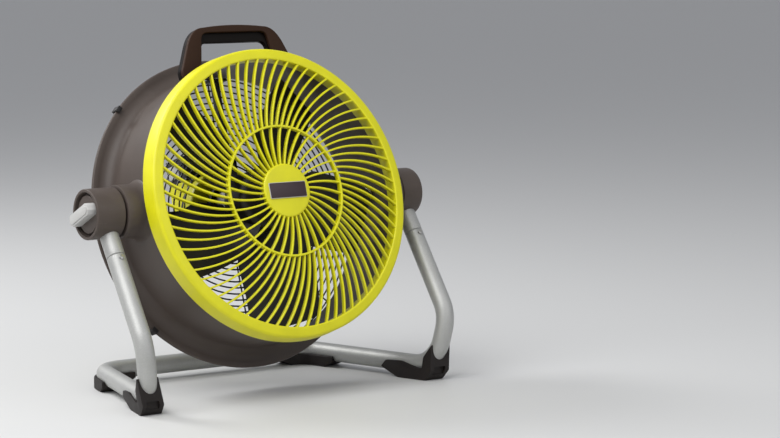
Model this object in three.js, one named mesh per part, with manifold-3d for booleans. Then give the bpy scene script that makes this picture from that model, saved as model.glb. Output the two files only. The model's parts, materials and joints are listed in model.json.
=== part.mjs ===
// A portable drum fan. The round head hangs between two pivots on a bent tube stand and tilts about them.
// Millimetres, +Z up, the front of the fan faces -Y, and the stand rests on z = 0.
import * as THREE from "three";
import { mergeVertices } from "three/addons/utils/BufferGeometryUtils.js";
import Module from "manifold-3d";

const wasm = await Module();
wasm.setup();

// ---- clearances ----
const GAP = 0.4; // between fixed pieces that touch
const PLAY = 0.7; // round a piece that turns or slides

// ---- head: lengths "ahead" are measured from the pivot axis along the fan's own axis ----
const TILT = 17; // degrees that the fan looks up
const BARREL_RADIUS = 166;
const BARREL_WALL = 2.6;
const BARREL_INSIDE = BARREL_RADIUS - BARREL_WALL;
const BARREL_FRONT = 53.5;
const FLARE_START = -42;
const FLARE_RADIUS = 16;
const RIM_RADIUS = BARREL_RADIUS + FLARE_RADIUS + 7.2;
const RIM_LIP = 2.4; // how far the rolled rim stands behind the flange
const RIM_WIDTH = 3;
const HEAD_SIDES = 40; // sides of the barrel, and of every cutter that fits it
const FLOOR_CLEARANCE = 32.8; // under the rim when the fan faces ahead
const PIVOT_HEIGHT = RIM_RADIUS + FLOOR_CLEARANCE;

// ---- front guard ----
const BEZEL_FRONT = BARREL_FRONT + 6;
const BEZEL_DEPTH = 23.1;
const BEZEL_REAR = BEZEL_FRONT - BEZEL_DEPTH;
const BEZEL_RADIUS = BARREL_RADIUS + 9;
const BEZEL_TAPER = 1.8; // the front edge is this much smaller than the rear edge
const BEZEL_WALL = 2.2;
const OPENING_RADIUS = BARREL_RADIUS - 5.5;
const OPENING_WALL = 1.9;
const OPENING_DEPTH = 17.5;
const DOME_RISE = 8.6; // how far the hub stands ahead of the bezel
const HUB_RADIUS = 31.8;
const HUB_DEPTH = 6;
const HUB_PROUD = 0.6;
const MID_RING_RADIUS = 77.6;
const MID_RING_WIDTH = 2.2;
const OUTER_RIBS = 72;
const INNER_RIBS = 36;
const GUARD_SIDES = 36;
const RIB_WIDTH = 2.4;
const RIB_DEPTH = 6.4;
const RIB_SWEEP = 0.205; // degrees of sweep for each millimetre of radius
const BADGE = { width: 51, height: 19, thick: 1.6 };

// ---- fan, motor and battery bay ----
const SHAFT_RADIUS = 4;
const BLADE_NUT = 9;
const BEARING_RADIUS = 8;
const MOTOR = { radius: 32, front: -16, rear: -56, wall: 1.6 };
const ROTOR_RADIUS = 18;
const BRACKET = { ring: 6, front: -44, rear: -52, arm: 8, arms: 4 };
const FAN_HUB = { radius: MOTOR.radius + 6, front: 28, rear: -12, wall: 3 };
const BLADES = 5;
const BLADE_TIP = BARREL_INSIDE - 11.4;
const BLADE_THICK = 2.4;
const BLADE_CHORD = 86;
const BLADE_RISE = { root: 46, tip: 33 };
const BLADE_MIDDLE = 5;
const BLADE_PHASE = -80;
const BLADE_SWEEP = 6;
const POD = { radius: 55, front: -59.4, rear: -80, wall: 2.5 };
const BOARD_SIZE = { half: 34, low: -24, high: 30, thick: 1.6, inset: 8 };
const DOCK_THICK = 6;
const BATTERY = { width: 76, low: -33, high: 79, deep: 47, cap: 30 };
const RAIL = {
  neck: BATTERY.width / 2 - 18.6,
  flange: BATTERY.width / 2 - 12.6,
  neckDeep: 7,
  flangeDeep: 3.4,
  low: -28,
  high: 40,
};
const LATCH = { long: 24, wide: 16, proud: 1.8, travel: 3 };
const DIAL = { radius: 9.2, proud: 9, stem: 4, height: -44.5 };

// ---- rear guard ----
const WIRE = 2;
const WIRE_PITCH = 7.5;
const FIRST_WIRE = POD.radius + 6.6;
const WIRE_SPOKES = 8;
const SPOKE_END = RIM_RADIUS - 4.6;
const WIRE_RINGS = Math.floor((SPOKE_END - FIRST_WIRE) / WIRE_PITCH);
const GUARD_DISH = 4;
const CLIP = { lip: 1.6, hook: 4, width: 8 };

// ---- stand tube and pivots: lengths "out" are measured sideways from the middle of the fan ----
const TUBE_RADIUS = 11;
const TUBE_WALL = 1.5;
const HOUSING_RADIUS = 29.4;
const BOSS_RADIUS = HOUSING_RADIUS + 2.1;
const BOSS_FLARE = BOSS_RADIUS + 3.5;
const BOSS_OUT = BARREL_RADIUS + 27;
const WASHER_THICK = 1.2;
const WASHER_RADIUS = HOUSING_RADIUS - 4.4;
const WASHER_OUT = BOSS_OUT + GAP;
const HOUSING_IN = WASHER_OUT + WASHER_THICK + GAP;
const HOUSING_OUT = { left: HOUSING_IN + 2 * TUBE_RADIUS + 16, right: HOUSING_IN + 2 * TUBE_RADIUS + 10 };
const HOUSING_FILLET = 5;
const RECESS_DEPTH = 8;
const RECESS_RADIUS = HOUSING_RADIUS - 4.4;
const BOLT_RADIUS = 4;
const BOLT_HEAD = { radius: 8.5, thick: 4.5 };
const NUT = { corner: 8, thick: 6 };
const KNOB = {
  disc: RECESS_RADIUS - 3,
  discThick: 5,
  length: 2 * RECESS_RADIUS - 4,
  width: 13,
  nick: 4,
  out: HOUSING_OUT.left + 10,
  turn: 27,
};

// ---- handle ----
const HANDLE_FRONT = 13;
const HANDLE_DEPTH = 14;
const HANDLE_FACE = 5; // thickness of the front shell
const HANDLE_TOP = BARREL_RADIUS + 49;
const HANDLE_FOOT = 81.5; // half-widths
const HANDLE_SHOULDER = 68;
const HANDLE_CROWN = 43;
const HANDLE_INSIDE = 44.5;
const HANDLE_GRIP = 20; // how far the rear shell reaches down from the top
const HANDLE_BAND = 9; // and the front shell
const HANDLE_STRAP = 5;
const HANDLE_SCREW = 1.8;

// ---- stand ----
const FOOT_HEIGHT = TUBE_RADIUS + 6; // of the tube's middle line
const LEG_TOP = new THREE.Vector3(HOUSING_IN + TUBE_RADIUS + 3.5, 3.5, PIVOT_HEIGHT);
const KNEE_HEIGHT = 80;
const KNEE_AHEAD = 94.5;
const STAND_AHEAD = 86;
const STAND_BEHIND = 119;
const KNEE = new THREE.Vector3(LEG_TOP.x + 3, -KNEE_AHEAD, KNEE_HEIGHT);
const FRONT_CORNER = new THREE.Vector3(LEG_TOP.x - 7, -STAND_AHEAD, FOOT_HEIGHT);
const REAR_CORNER = new THREE.Vector3(LEG_TOP.x - 62.5, STAND_BEHIND, FOOT_HEIGHT);
const BENDS = { knee: 45, front: 40, rear: 35 };
const STUB_START = 14; // from the pivot axis, down the leg
const STUB_END = HOUSING_RADIUS + 28.1;
const SPIGOT = 15;
const LEG_SCREW = { down: 6, radius: 1.6, head: 3, proud: 1.4 };
const BOOT_WIDTH = 2 * TUBE_RADIUS + 6;
const BOOT_FACE = TUBE_RADIUS - 2.5; // the boot's front face is this far ahead of the leg's centre line
const THROAT = { radius: TUBE_RADIUS - 0.2, height: 46 }; // the round notch in the boot's face
const WINDOW = { half: 8.5, low: 7.5, high: 17, deep: 5 };
const PAD_ARM = { rail: 58, bar: 40 };
const PAD_THICK = 14;

// ---- materials ----
function finish(color, roughness, metalness) {
  return new THREE.MeshStandardMaterial({ color, roughness, metalness });
}

const LIME = finish(0xd8dc1e, 0.45, 0);
const GRAPHITE = finish(0x4b4845, 0.5, 0.1);
const BLACK = finish(0x1d1c1c, 0.6, 0);
const RUBBER = finish(0x222122, 0.8, 0);
const PALE_GREY = finish(0xb9b9b4, 0.5, 0);
const SILVER = finish(0xb9bab4, 0.38, 0.8);
const STEEL = finish(0x9a9a9c, 0.35, 1);
const COPPER = finish(0xa6663a, 0.5, 0.8);
const BOARD = finish(0x1f5a35, 0.6, 0);

// ---- closed solids ----
const WELD = 1e-4;
const radians = THREE.MathUtils.degToRad;

// Shared corners merged, slivers of no area dropped, faces turned outwards.
function welded(geometry) {
  const bare = geometry.clone();
  const extras = Object.keys(bare.attributes).filter((name) => name !== "position");
  extras.forEach((name) => bare.deleteAttribute(name));
  const merged = mergeVertices(bare, WELD);
  const place = merged.getAttribute("position");
  const triangles = [];
  for (let i = 0; i < merged.index.count; i += 3) {
    const [a, b, c] = [0, 1, 2].map((k) => merged.index.getX(i + k));
    if (a !== b && b !== c && a !== c) triangles.push([a, b, c]);
  }
  const corner = (index) => new THREE.Vector3().fromBufferAttribute(place, index);
  const volume = triangles.reduce((sum, [a, b, c]) => sum + corner(a).dot(corner(b).cross(corner(c))), 0);
  merged.setIndex(triangles.flatMap(([a, b, c]) => (volume < 0 ? [a, c, b] : [a, b, c])));
  return merged;
}

function solid(geometry) {
  const closed = welded(geometry);
  const vertProperties = new Float32Array(closed.getAttribute("position").array);
  const triVerts = new Uint32Array(closed.index.array);
  return new wasm.Manifold(new wasm.Mesh({ numProp: 3, vertProperties, triVerts }));
}

function geometryOf(manifold) {
  const mesh = manifold.getMesh();
  const geometry = new THREE.BufferGeometry();
  geometry.setAttribute("position", new THREE.BufferAttribute(mesh.vertProperties, 3));
  geometry.setIndex(new THREE.BufferAttribute(mesh.triVerts, 1));
  return geometry;
}

// One balanced pass after another, so that a guard of a hundred ribs joins quickly.
function join(...geometries) {
  let row = geometries.map(solid);
  while (row.length > 1) {
    row = row.flatMap((one, i) => (i % 2 ? [] : [i + 1 < row.length ? one.add(row[i + 1]) : one]));
  }
  return geometryOf(row[0]);
}

function cut(geometry, ...tools) {
  return geometryOf(tools.reduce((left, tool) => left.subtract(solid(tool)), solid(geometry)));
}

// ---- shapes ----
// A closed outline of [radius, ahead] points, turned about the fan's axis, which points along -Y.
function turned(outline, sides = 24) {
  const points = [...outline, outline[0]].map(([radius, ahead]) => new THREE.Vector2(radius, -ahead));
  return new THREE.LatheGeometry(points, sides);
}

const ring = (inside, outside, rear, front, sides = 20) =>
  turned([[inside, rear], [outside, rear], [outside, front], [inside, front]], sides);

// The same, turned about the pivot axis: side is 1 for +X and -1 for -X.
function turnedOut(outline, side, sides = 24) {
  return turned(outline, sides).rotateZ((side * Math.PI) / 2);
}

function arc(centre, radius, from, to, steps) {
  return Array.from({ length: steps + 1 }, (_, i) => {
    const angle = radians(from + ((to - from) * i) / steps);
    return [centre[0] + radius * Math.cos(angle), centre[1] + radius * Math.sin(angle)];
  });
}

// A bar from [x0, x1] by [ahead0, ahead1] by [low, high] in the head's frame.
function bar([x0, x1], [ahead0, ahead1], [low, high]) {
  const box = new THREE.BoxGeometry(x1 - x0, ahead1 - ahead0, high - low);
  return box.translate((x0 + x1) / 2, -(ahead0 + ahead1) / 2, (low + high) / 2);
}

function outlineShape(points) {
  return new THREE.Shape(points.map(([x, y]) => new THREE.Vector2(x, y)));
}

// An outline drawn in x and z, thickened from one ahead to another.
function slab(shape, rear, front, curveSegments = 4) {
  const block = new THREE.ExtrudeGeometry(shape, { depth: front - rear, bevelEnabled: false, curveSegments });
  return block.rotateX(Math.PI / 2).translate(0, -rear, 0);
}

// Moves a shape built up the Y axis so that it starts at a point and runs along a direction.
function aimed(geometry, start, direction) {
  const turn = new THREE.Quaternion().setFromUnitVectors(new THREE.Vector3(0, 1, 0), direction);
  return geometry.applyQuaternion(turn).translate(start.x, start.y, start.z);
}

function rod(radius, from, to, sides = 12) {
  return new THREE.CylinderGeometry(radius, radius, to - from, sides).translate(0, (from + to) / 2, 0);
}

const mirrored = (point) => new THREE.Vector3(-point.x, point.y, point.z);

// A centre line of straights joined by round bends. Sections fall only where the line bends.
class BentLine extends THREE.Curve {
  constructor(corners, radii, steps) {
    super();
    const first = corners[1].clone().sub(corners[0]).normalize();
    const last = corners.at(-1).clone().sub(corners.at(-2)).normalize();
    this.stations = [{ point: corners[0], tangent: first }];
    for (let i = 0; i < radii.length; i += 1) {
      this.bend(corners[i], corners[i + 1], corners[i + 2], radii[i], steps);
    }
    this.stations.push({ point: corners.at(-1), tangent: last });
  }

  bend(before, corner, after, radius, steps) {
    const into = corner.clone().sub(before).normalize();
    const out = after.clone().sub(corner).normalize();
    const angle = into.angleTo(out);
    const start = corner.clone().addScaledVector(into, -radius * Math.tan(angle / 2));
    const inward = out.clone().addScaledVector(into, -out.dot(into)).normalize();
    for (let k = 0; k <= steps; k += 1) {
      const turn = (angle * k) / steps;
      const point = start.clone().addScaledVector(into, radius * Math.sin(turn));
      point.addScaledVector(inward, radius * (1 - Math.cos(turn)));
      const tangent = into.clone().multiplyScalar(Math.cos(turn)).addScaledVector(inward, Math.sin(turn));
      this.stations.push({ point, tangent });
    }
  }

  get sections() {
    return this.stations.length - 1;
  }

  getPointAt(t) {
    return this.stations[Math.round(t * this.sections)].point.clone();
  }

  getTangentAt(t) {
    return this.stations[Math.round(t * this.sections)].tangent.clone();
  }
}

function pipe(line, radius, bore, sides) {
  const section = new THREE.Shape().absarc(0, 0, radius, 0, 2 * Math.PI, false);
  if (bore) section.holes.push(new THREE.Path().absarc(0, 0, bore, 0, 2 * Math.PI, true));
  const options = { extrudePath: line, steps: line.sections, curveSegments: sides / 2, bevelEnabled: false };
  return new THREE.ExtrudeGeometry(section, options);
}

// ---- the assembly ----
const fan = new THREE.Group();
const stand = new THREE.Group();
const head = new THREE.Group();
head.position.z = PIVOT_HEIGHT;
head.rotation.x = -radians(TILT);
fan.add(stand, head);

function part(parent, name, geometry, material) {
  const mesh = new THREE.Mesh(welded(geometry), material);
  mesh.name = name;
  parent.add(mesh);
}

const SIDES = [
  { name: "left", side: -1 },
  { name: "right", side: 1 },
];

// ---- head: drum ----
const FLANGE_FACE = FLARE_START - FLARE_RADIUS;
const FLANGE_BACK = FLANGE_FACE - BARREL_WALL;
const RIM_BACK = FLANGE_BACK - RIM_LIP;
const BARREL_FLAT = BARREL_INSIDE * Math.cos(Math.PI / HEAD_SIDES); // to the middle of a side
const BOLT_START = Math.sqrt(BARREL_FLAT ** 2 - BOLT_HEAD.radius ** 2) - GAP - BOLT_HEAD.thick;
const RECESS_FLOOR = HOUSING_OUT.left - RECESS_DEPTH;

const boltBore = (side, from, to) => rod(BOLT_RADIUS + PLAY, from, to).rotateZ((-side * Math.PI) / 2);

function drumShell() {
  const flareCentre = [BARREL_RADIUS + FLARE_RADIUS, FLARE_START];
  const rimIn = RIM_RADIUS - RIM_WIDTH;
  const profile = [
    [BARREL_RADIUS, BARREL_FRONT],
    ...arc(flareCentre, FLARE_RADIUS, 180, 270, 3),
    [rimIn, FLANGE_FACE],
    [RIM_RADIUS, FLANGE_FACE + 0.8],
    [RIM_RADIUS, RIM_BACK],
    [rimIn, RIM_BACK],
    [rimIn, FLANGE_BACK],
    ...arc(flareCentre, FLARE_RADIUS + BARREL_WALL, 270, 180, 3),
    [BARREL_INSIDE, BARREL_FRONT],
  ];
  const boltHoles = SIDES.map(({ side }) => boltBore(side, BARREL_INSIDE - 14, BARREL_RADIUS + 9));
  return cut(turned(profile, HEAD_SIDES), ...boltHoles);
}

// What the barrel's outside would cut from a piece that sits on it.
const barrelCutter = () => {
  const radius = BARREL_RADIUS + GAP;
  return ring(0, radius, FLARE_START, BARREL_FRONT, HEAD_SIDES);
};

// ---- head: front guard ----
const domeAt = (radius) => {
  const share = (radius - HUB_RADIUS) / (OPENING_RADIUS - HUB_RADIUS);
  return BEZEL_FRONT + DOME_RISE * (1 - share * share);
};

const HUB_FRONT = domeAt(HUB_RADIUS) + HUB_PROUD;

// A rib swept round as it goes out: a box whose length is bent over the dome.
function guardRib(from, to, angle, steps) {
  const rib = new THREE.BoxGeometry(1, 1, 1, 1, 1, steps);
  const place = rib.getAttribute("position");
  for (let i = 0; i < place.count; i += 1) {
    const radius = THREE.MathUtils.lerp(from, to, place.getZ(i) + 0.5);
    const turn = radians(angle - RIB_SWEEP * radius) + (place.getX(i) * RIB_WIDTH) / radius;
    const ahead = domeAt(radius) - 0.4 - RIB_DEPTH * (0.5 - place.getY(i));
    place.setXYZ(i, radius * Math.cos(turn), -ahead, radius * Math.sin(turn));
  }
  return rib;
}

function ribRow(count, from, to, offset, steps) {
  return Array.from({ length: count }, (_, i) => guardRib(from, to, (360 / count) * i + offset, steps));
}

function frontGuard() {
  const edge = BEZEL_RADIUS - BEZEL_TAPER;
  const inside = OPENING_RADIUS + OPENING_WALL;
  const bezel = turned(
    [
      [OPENING_RADIUS, BEZEL_FRONT - OPENING_DEPTH],
      [OPENING_RADIUS, BEZEL_FRONT - 1],
      [OPENING_RADIUS + 2, BEZEL_FRONT],
      [edge - 1, BEZEL_FRONT - 1],
      [edge, BEZEL_FRONT - 4],
      [BEZEL_RADIUS, BEZEL_REAR],
      [BEZEL_RADIUS - BEZEL_WALL, BEZEL_REAR],
      [edge - BEZEL_WALL, BEZEL_FRONT - 4.6],
      [inside, BEZEL_FRONT - 4.6],
      [inside, BEZEL_FRONT - OPENING_DEPTH],
    ],
    GUARD_SIDES,
  );
  const ringIn = MID_RING_RADIUS - MID_RING_WIDTH / 2;
  const ringOut = MID_RING_RADIUS + MID_RING_WIDTH / 2;
  const ringFront = domeAt(MID_RING_RADIUS);
  const ringBack = ringFront - RIB_DEPTH - 0.8;
  const midRing = ring(ringIn, ringOut, ringBack, ringFront, GUARD_SIDES);
  const hubBack = HUB_FRONT - HUB_DEPTH;
  const hub = turned(
    [
      [0, hubBack],
      [HUB_RADIUS, hubBack - 1],
      [HUB_RADIUS, HUB_FRONT - 1],
      [HUB_RADIUS - 1.5, HUB_FRONT],
      [0, HUB_FRONT],
    ],
    GUARD_SIDES,
  );
  const outer = ribRow(OUTER_RIBS, MID_RING_RADIUS, OPENING_RADIUS + OPENING_WALL / 2, 4, 2);
  const inner = ribRow(INNER_RIBS, HUB_RADIUS - 1.2, MID_RING_RADIUS, 0, 1);
  return join(bezel, midRing, hub, ...outer, ...inner);
}

function badgePlate() {
  const back = HUB_FRONT + GAP;
  const [x, z] = [BADGE.width / 2, BADGE.height / 2];
  return bar([-x, x], [back, back + BADGE.thick], [-z, z]);
}

// ---- head: rear guard ----
const WIRE_PLANE = FLANGE_BACK - GAP - WIRE / 2;
const dishAt = (radius) => WIRE_PLANE - (GUARD_DISH * (SPOKE_END - radius)) / (SPOKE_END - FIRST_WIRE);

function rearGuard() {
  const half = WIRE / 2;
  const rings = Array.from({ length: WIRE_RINGS }, (_, i) => {
    const radius = FIRST_WIRE + WIRE_PITCH * i;
    const ahead = dishAt(radius) + WIRE * 0.7;
    const section = [[radius - half, ahead + half], [radius + half, ahead + half], [radius, ahead - half]];
    const sides = 2 * WIRE_SPOKES;
    return turned(section, sides).rotateY(Math.PI / sides); // spokes cross the middle of a side
  });
  const reach = SPOKE_END - FIRST_WIRE + half;
  const slope = Math.atan2(GUARD_DISH, SPOKE_END - FIRST_WIRE);
  const spokes = Array.from({ length: WIRE_SPOKES }, (_, i) =>
    new THREE.BoxGeometry(WIRE, WIRE, reach)
      .translate(0, 0, reach / 2)
      .rotateX(slope)
      .translate(0, -dishAt(FIRST_WIRE), FIRST_WIRE - half)
      .rotateY((i * 2 * Math.PI) / WIRE_SPOKES),
  );
  return join(...rings, ...spokes);
}

// A clip hooks over the rolled rim and holds the end of a spoke.
function rimClip(angle) {
  const { lip, hook, width } = CLIP;
  const outside = RIM_RADIUS + GAP;
  const [front, back] = [FLANGE_FACE + 0.8 + GAP, RIM_BACK - WIRE];
  const profile = [
    [outside + lip, front + lip],
    [outside + lip, back - lip],
    [SPOKE_END - 6, back - lip],
    [SPOKE_END - 6, back],
    [outside, back],
    [outside, front],
    [outside - hook, front],
    [outside - hook, front + lip],
  ];
  const block = new THREE.ExtrudeGeometry(outlineShape(profile), { depth: width, bevelEnabled: false });
  return block.translate(0, 0, -width / 2).rotateX(Math.PI).rotateY(radians(angle));
}

// ---- head: pivots ----
function pivotBoss(side) {
  const root = BARREL_RADIUS - 16;
  const profile = [
    [0, root],
    [BOSS_FLARE, root],
    [BOSS_FLARE, BARREL_RADIUS + 1],
    [BOSS_RADIUS + 0.6, BARREL_RADIUS + 8],
    [BOSS_RADIUS, BARREL_RADIUS + 12],
    [BOSS_RADIUS, BOSS_OUT - 1],
    [BOSS_RADIUS - 1, BOSS_OUT],
    [0, BOSS_OUT],
  ];
  return cut(turnedOut(profile, side), barrelCutter(), boltBore(side, root - 10, BOSS_OUT + 17));
}

function pivotBolt(side) {
  const end = side < 0 ? KNOB.out - 8 : HOUSING_IN + NUT.thick + 8;
  const { radius, thick } = BOLT_HEAD;
  const profile = [
    [0, BOLT_START],
    [radius - 2, BOLT_START],
    [radius, BOLT_START + 2],
    [radius, BOLT_START + thick],
    [BOLT_RADIUS, BOLT_START + thick],
    [BOLT_RADIUS, end],
    [0, end],
  ];
  return turnedOut(profile, side, 16);
}

// ---- head: handle ----
// The opening that the fingers go through: down from the top by its band, over the strap on the barrel.
function handleLoop(band) {
  const top = HANDLE_TOP - band;
  const low = BARREL_RADIUS + HANDLE_STRAP;
  const foot = HANDLE_INSIDE + 9;
  const loop = new THREE.Path();
  loop.moveTo(-HANDLE_INSIDE + 8, top);
  loop.lineTo(HANDLE_INSIDE - 8, top);
  loop.quadraticCurveTo(HANDLE_INSIDE, top, HANDLE_INSIDE + 2, top - 7);
  loop.lineTo(foot, low - 10);
  loop.quadraticCurveTo(0, low + 10, -foot, low - 10);
  loop.lineTo(-HANDLE_INSIDE - 2, top - 7);
  loop.quadraticCurveTo(-HANDLE_INSIDE, top, -HANDLE_INSIDE + 8, top);
  return loop;
}

function handleOutline(band) {
  const shoulder = HANDLE_TOP - 25;
  const ankle = BARREL_RADIUS - 8;
  const root = BARREL_RADIUS - 26;
  const shape = new THREE.Shape();
  shape.moveTo(HANDLE_FOOT - 8, root);
  shape.lineTo(HANDLE_FOOT, ankle);
  shape.lineTo(HANDLE_SHOULDER, shoulder);
  shape.quadraticCurveTo(HANDLE_SHOULDER - 9, HANDLE_TOP - 3, HANDLE_CROWN, HANDLE_TOP - 3);
  shape.quadraticCurveTo(0, HANDLE_TOP + 3, -HANDLE_CROWN, HANDLE_TOP - 3);
  shape.quadraticCurveTo(-HANDLE_SHOULDER + 9, HANDLE_TOP - 3, -HANDLE_SHOULDER, shoulder);
  shape.lineTo(-HANDLE_FOOT, ankle);
  shape.lineTo(-HANDLE_FOOT + 8, root);
  shape.holes.push(handleLoop(band));
  return shape;
}

const HANDLE_SPLIT = HANDLE_FRONT - HANDLE_FACE;
const HANDLE_BACK = HANDLE_FRONT - HANDLE_DEPTH;
const HANDLE_SCREW_PLACE = [HANDLE_SHOULDER - 9, HANDLE_TOP - 36];

function handleScrew(side, slack = 0) {
  const [shank, head0] = [HANDLE_SCREW + slack, HANDLE_SCREW * 2 + slack];
  const under = HANDLE_BACK - (slack ? 2 : 0); // a cutter runs out behind
  const end = HANDLE_SPLIT + HANDLE_FACE - 2 + slack;
  const profile = [
    [0, under - 1.4],
    [head0, under - 1],
    [head0, HANDLE_BACK + 2 + slack],
    [shank, HANDLE_BACK + 2 + slack],
    [shank, end],
    [0, end],
  ];
  return turned(profile, 10).translate(side * HANDLE_SCREW_PLACE[0], 0, HANDLE_SCREW_PLACE[1]);
}

function handleShell(band, rear, front) {
  const holes = SIDES.map(({ side }) => handleScrew(side, GAP));
  return cut(slab(handleOutline(band), rear, front), barrelCutter(), ...holes);
}

// ---- fan rotor ----
// A blade is a box bent to the hub: its length runs outwards, its width round the hub and up the pitch.
function blade(index) {
  const sheet = new THREE.BoxGeometry(1, 1, 1, 3, 1, 4);
  const place = sheet.getAttribute("position");
  const root = FAN_HUB.radius - 1.5;
  for (let i = 0; i < place.count; i += 1) {
    const [across, thick, out] = [place.getX(i), place.getY(i), place.getZ(i) + 0.5];
    const radius = THREE.MathUtils.lerp(root, BLADE_TIP, out);
    const half = Math.min(BLADE_CHORD / radius, radians(66)) * (1 - 0.12 * out * out);
    const centre = radians(BLADE_PHASE - BLADE_SWEEP * out + (index * 360) / BLADES);
    const rise = THREE.MathUtils.lerp(BLADE_RISE.root, BLADE_RISE.tip, out);
    const camber = 5 * (1 - 4 * across * across);
    const ahead = BLADE_MIDDLE - camber + across * rise + thick * BLADE_THICK;
    const turn = centre + across * half;
    place.setXYZ(i, radius * Math.cos(turn), -ahead, radius * Math.sin(turn));
  }
  return sheet;
}

function fanBlade() {
  const { radius, front, rear, wall } = FAN_HUB;
  const bore = SHAFT_RADIUS + GAP;
  const cup = turned(
    [
      [bore, rear + 4],
      [bore + 5, rear + 4],
      [bore + 5, front - wall - 3],
      [radius - wall, front - wall - 7],
      [radius - wall, rear],
      [radius, rear],
      [radius, front - 6],
      [radius - 6, front - 1.5],
      [bore, front],
    ],
    30,
  );
  return join(cup, ...Array.from({ length: BLADES }, (_, i) => blade(i)));
}

// ---- motor ----
function motorCan() {
  const { radius, front, rear, wall } = MOTOR;
  const seat = BEARING_RADIUS + GAP;
  return turned([
    [seat, front],
    [radius, front],
    [radius, rear],
    [radius - wall, rear],
    [radius - wall, front - wall],
    [seat, front - wall],
  ]);
}

function hexNut(corner, bore, rear, front) {
  return cut(ring(0, corner, rear, front, 6), rod(bore, -front - 1, -rear + 1));
}

function motorBracket() {
  const inside = MOTOR.radius + GAP;
  const { front, rear, arm, arms } = BRACKET;
  const reach = BARREL_INSIDE - 1.2;
  const collar = ring(inside, inside + BRACKET.ring, rear, front, 24);
  const spokes = Array.from({ length: arms }, (_, i) =>
    bar([-arm / 2, arm / 2], [rear, front], [inside + 2, reach]).rotateY((i * 2 * Math.PI) / arms),
  );
  const feet = Array.from({ length: arms }, (_, i) =>
    bar([-12, 12], [rear, front + 6], [reach - 4, reach - 0.6]).rotateY((i * 2 * Math.PI) / arms),
  );
  return join(collar, ...spokes, ...feet);
}

// ---- battery bay ----
const DOCK_FRONT = POD.rear - GAP;
const DOCK_BACK = DOCK_FRONT - DOCK_THICK;
const RAIL_STEP = DOCK_BACK - RAIL.neckDeep;
const RAIL_BACK = RAIL_STEP - RAIL.flangeDeep;
const BATTERY_FRONT = DOCK_BACK - PLAY;
const BATTERY_BACK = BATTERY_FRONT - BATTERY.deep;

function podHousing() {
  const { radius, front, rear, wall } = POD;
  const bore = SHAFT_RADIUS + 2;
  return turned([
    [bore, front],
    [radius - 7, front],
    [radius, front - 6],
    [radius, rear],
    [radius - wall, rear],
    [radius - wall, front - 7],
    [radius - 8, front - wall],
    [bore, front - wall],
  ]);
}

function batteryDock() {
  const dialBore = rod(DIAL.stem + PLAY, -20, 20).translate(0, -DOCK_BACK, DIAL.height);
  const plate = turned([
    [0, DOCK_BACK],
    [POD.radius - 1, DOCK_BACK],
    [POD.radius, DOCK_BACK + 1],
    [POD.radius, DOCK_FRONT],
    [0, DOCK_FRONT],
  ]);
  const neck = bar([-RAIL.neck, RAIL.neck], [RAIL_STEP - 1, DOCK_BACK + 1], [RAIL.low, RAIL.high]);
  const flange = bar([-RAIL.flange, RAIL.flange], [RAIL_BACK, RAIL_STEP], [RAIL.low, RAIL.high]);
  return cut(join(plate, neck, flange), dialBore);
}

function dockTerminals() {
  const low = RAIL.high + GAP;
  const block = bar([-14, 14], [RAIL_BACK + 1, DOCK_BACK - GAP], [low, low + 5]);
  const tab = bar([-0.5, 0.5], [RAIL_BACK + 2, RAIL_STEP], [low + 4, low + 9]);
  return join(block, ...[-9, -3, 3, 9].map((x) => tab.clone().translate(x, 0, 0)));
}

// The battery is a lower and an upper shell round one T-shaped slot, which runs out of its lower end.
function batteryShell(low, high) {
  const half = BATTERY.width / 2;
  const soft = 6;
  const outline = outlineShape([
    [half, -BATTERY_FRONT],
    [half, -BATTERY_BACK - soft],
    [half - soft, -BATTERY_BACK],
    [-half + soft, -BATTERY_BACK],
    [-half, -BATTERY_BACK - soft],
    [-half, -BATTERY_FRONT],
  ]);
  const block = new THREE.ExtrudeGeometry(outline, { depth: high - low, bevelEnabled: false });
  block.translate(0, 0, low);
  const slotHeight = [BATTERY.low - 5, RAIL.high + 12];
  const [neck, flange] = [RAIL.neck + PLAY, RAIL.flange + PLAY];
  const slotNeck = bar([-neck, neck], [RAIL_STEP, BATTERY_FRONT + 5], slotHeight);
  const slotWide = bar([-flange, flange], [RAIL_BACK - PLAY, RAIL_STEP + PLAY], slotHeight);
  const pockets = SIDES.map(({ side }) => latchButton(side, GAP));
  return cut(block, slotNeck, slotWide, ...pockets);
}

const BATTERY_SPLIT = BATTERY.high - BATTERY.cap;

function latchButton(side, slack = 0) {
  const half = BATTERY.width / 2;
  const middle = BATTERY_SPLIT + 14;
  const depth = slack ? LATCH.travel + 3 : 2.5;
  const [inner, outer] = [half - depth, half + LATCH.proud];
  const across = (BATTERY_FRONT + BATTERY_BACK) / 2;
  const wide = LATCH.wide / 2 + slack;
  const long = LATCH.long / 2 + slack;
  const [x0, x1] = side < 0 ? [-outer, -inner] : [inner, outer];
  return bar([x0, x1], [across - long, across + long], [middle - wide, middle + wide]);
}

function speedDial() {
  const back = DOCK_BACK - GAP;
  const grip = Array.from({ length: 12 }, (_, i) => {
    const angle = (i * Math.PI) / 6;
    const radius = i % 2 ? DIAL.radius : DIAL.radius - 0.9;
    return [radius * Math.cos(angle), radius * Math.sin(angle)];
  });
  const cap = slab(outlineShape(grip), back - DIAL.proud, back);
  const stem = rod(DIAL.stem, -DOCK_FRONT - 2, -back + 1);
  return join(cap, stem).translate(0, 0, DIAL.height);
}

// ---- stand ----
const legDirection = KNEE.clone().sub(LEG_TOP).normalize();
const outwards = (side, point) => (side < 0 ? mirrored(point) : point.clone());
const downLeg = (side, distance) => outwards(side, LEG_TOP.clone().addScaledVector(legDirection, distance));
const legAxis = (side) => outwards(side, legDirection);

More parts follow.
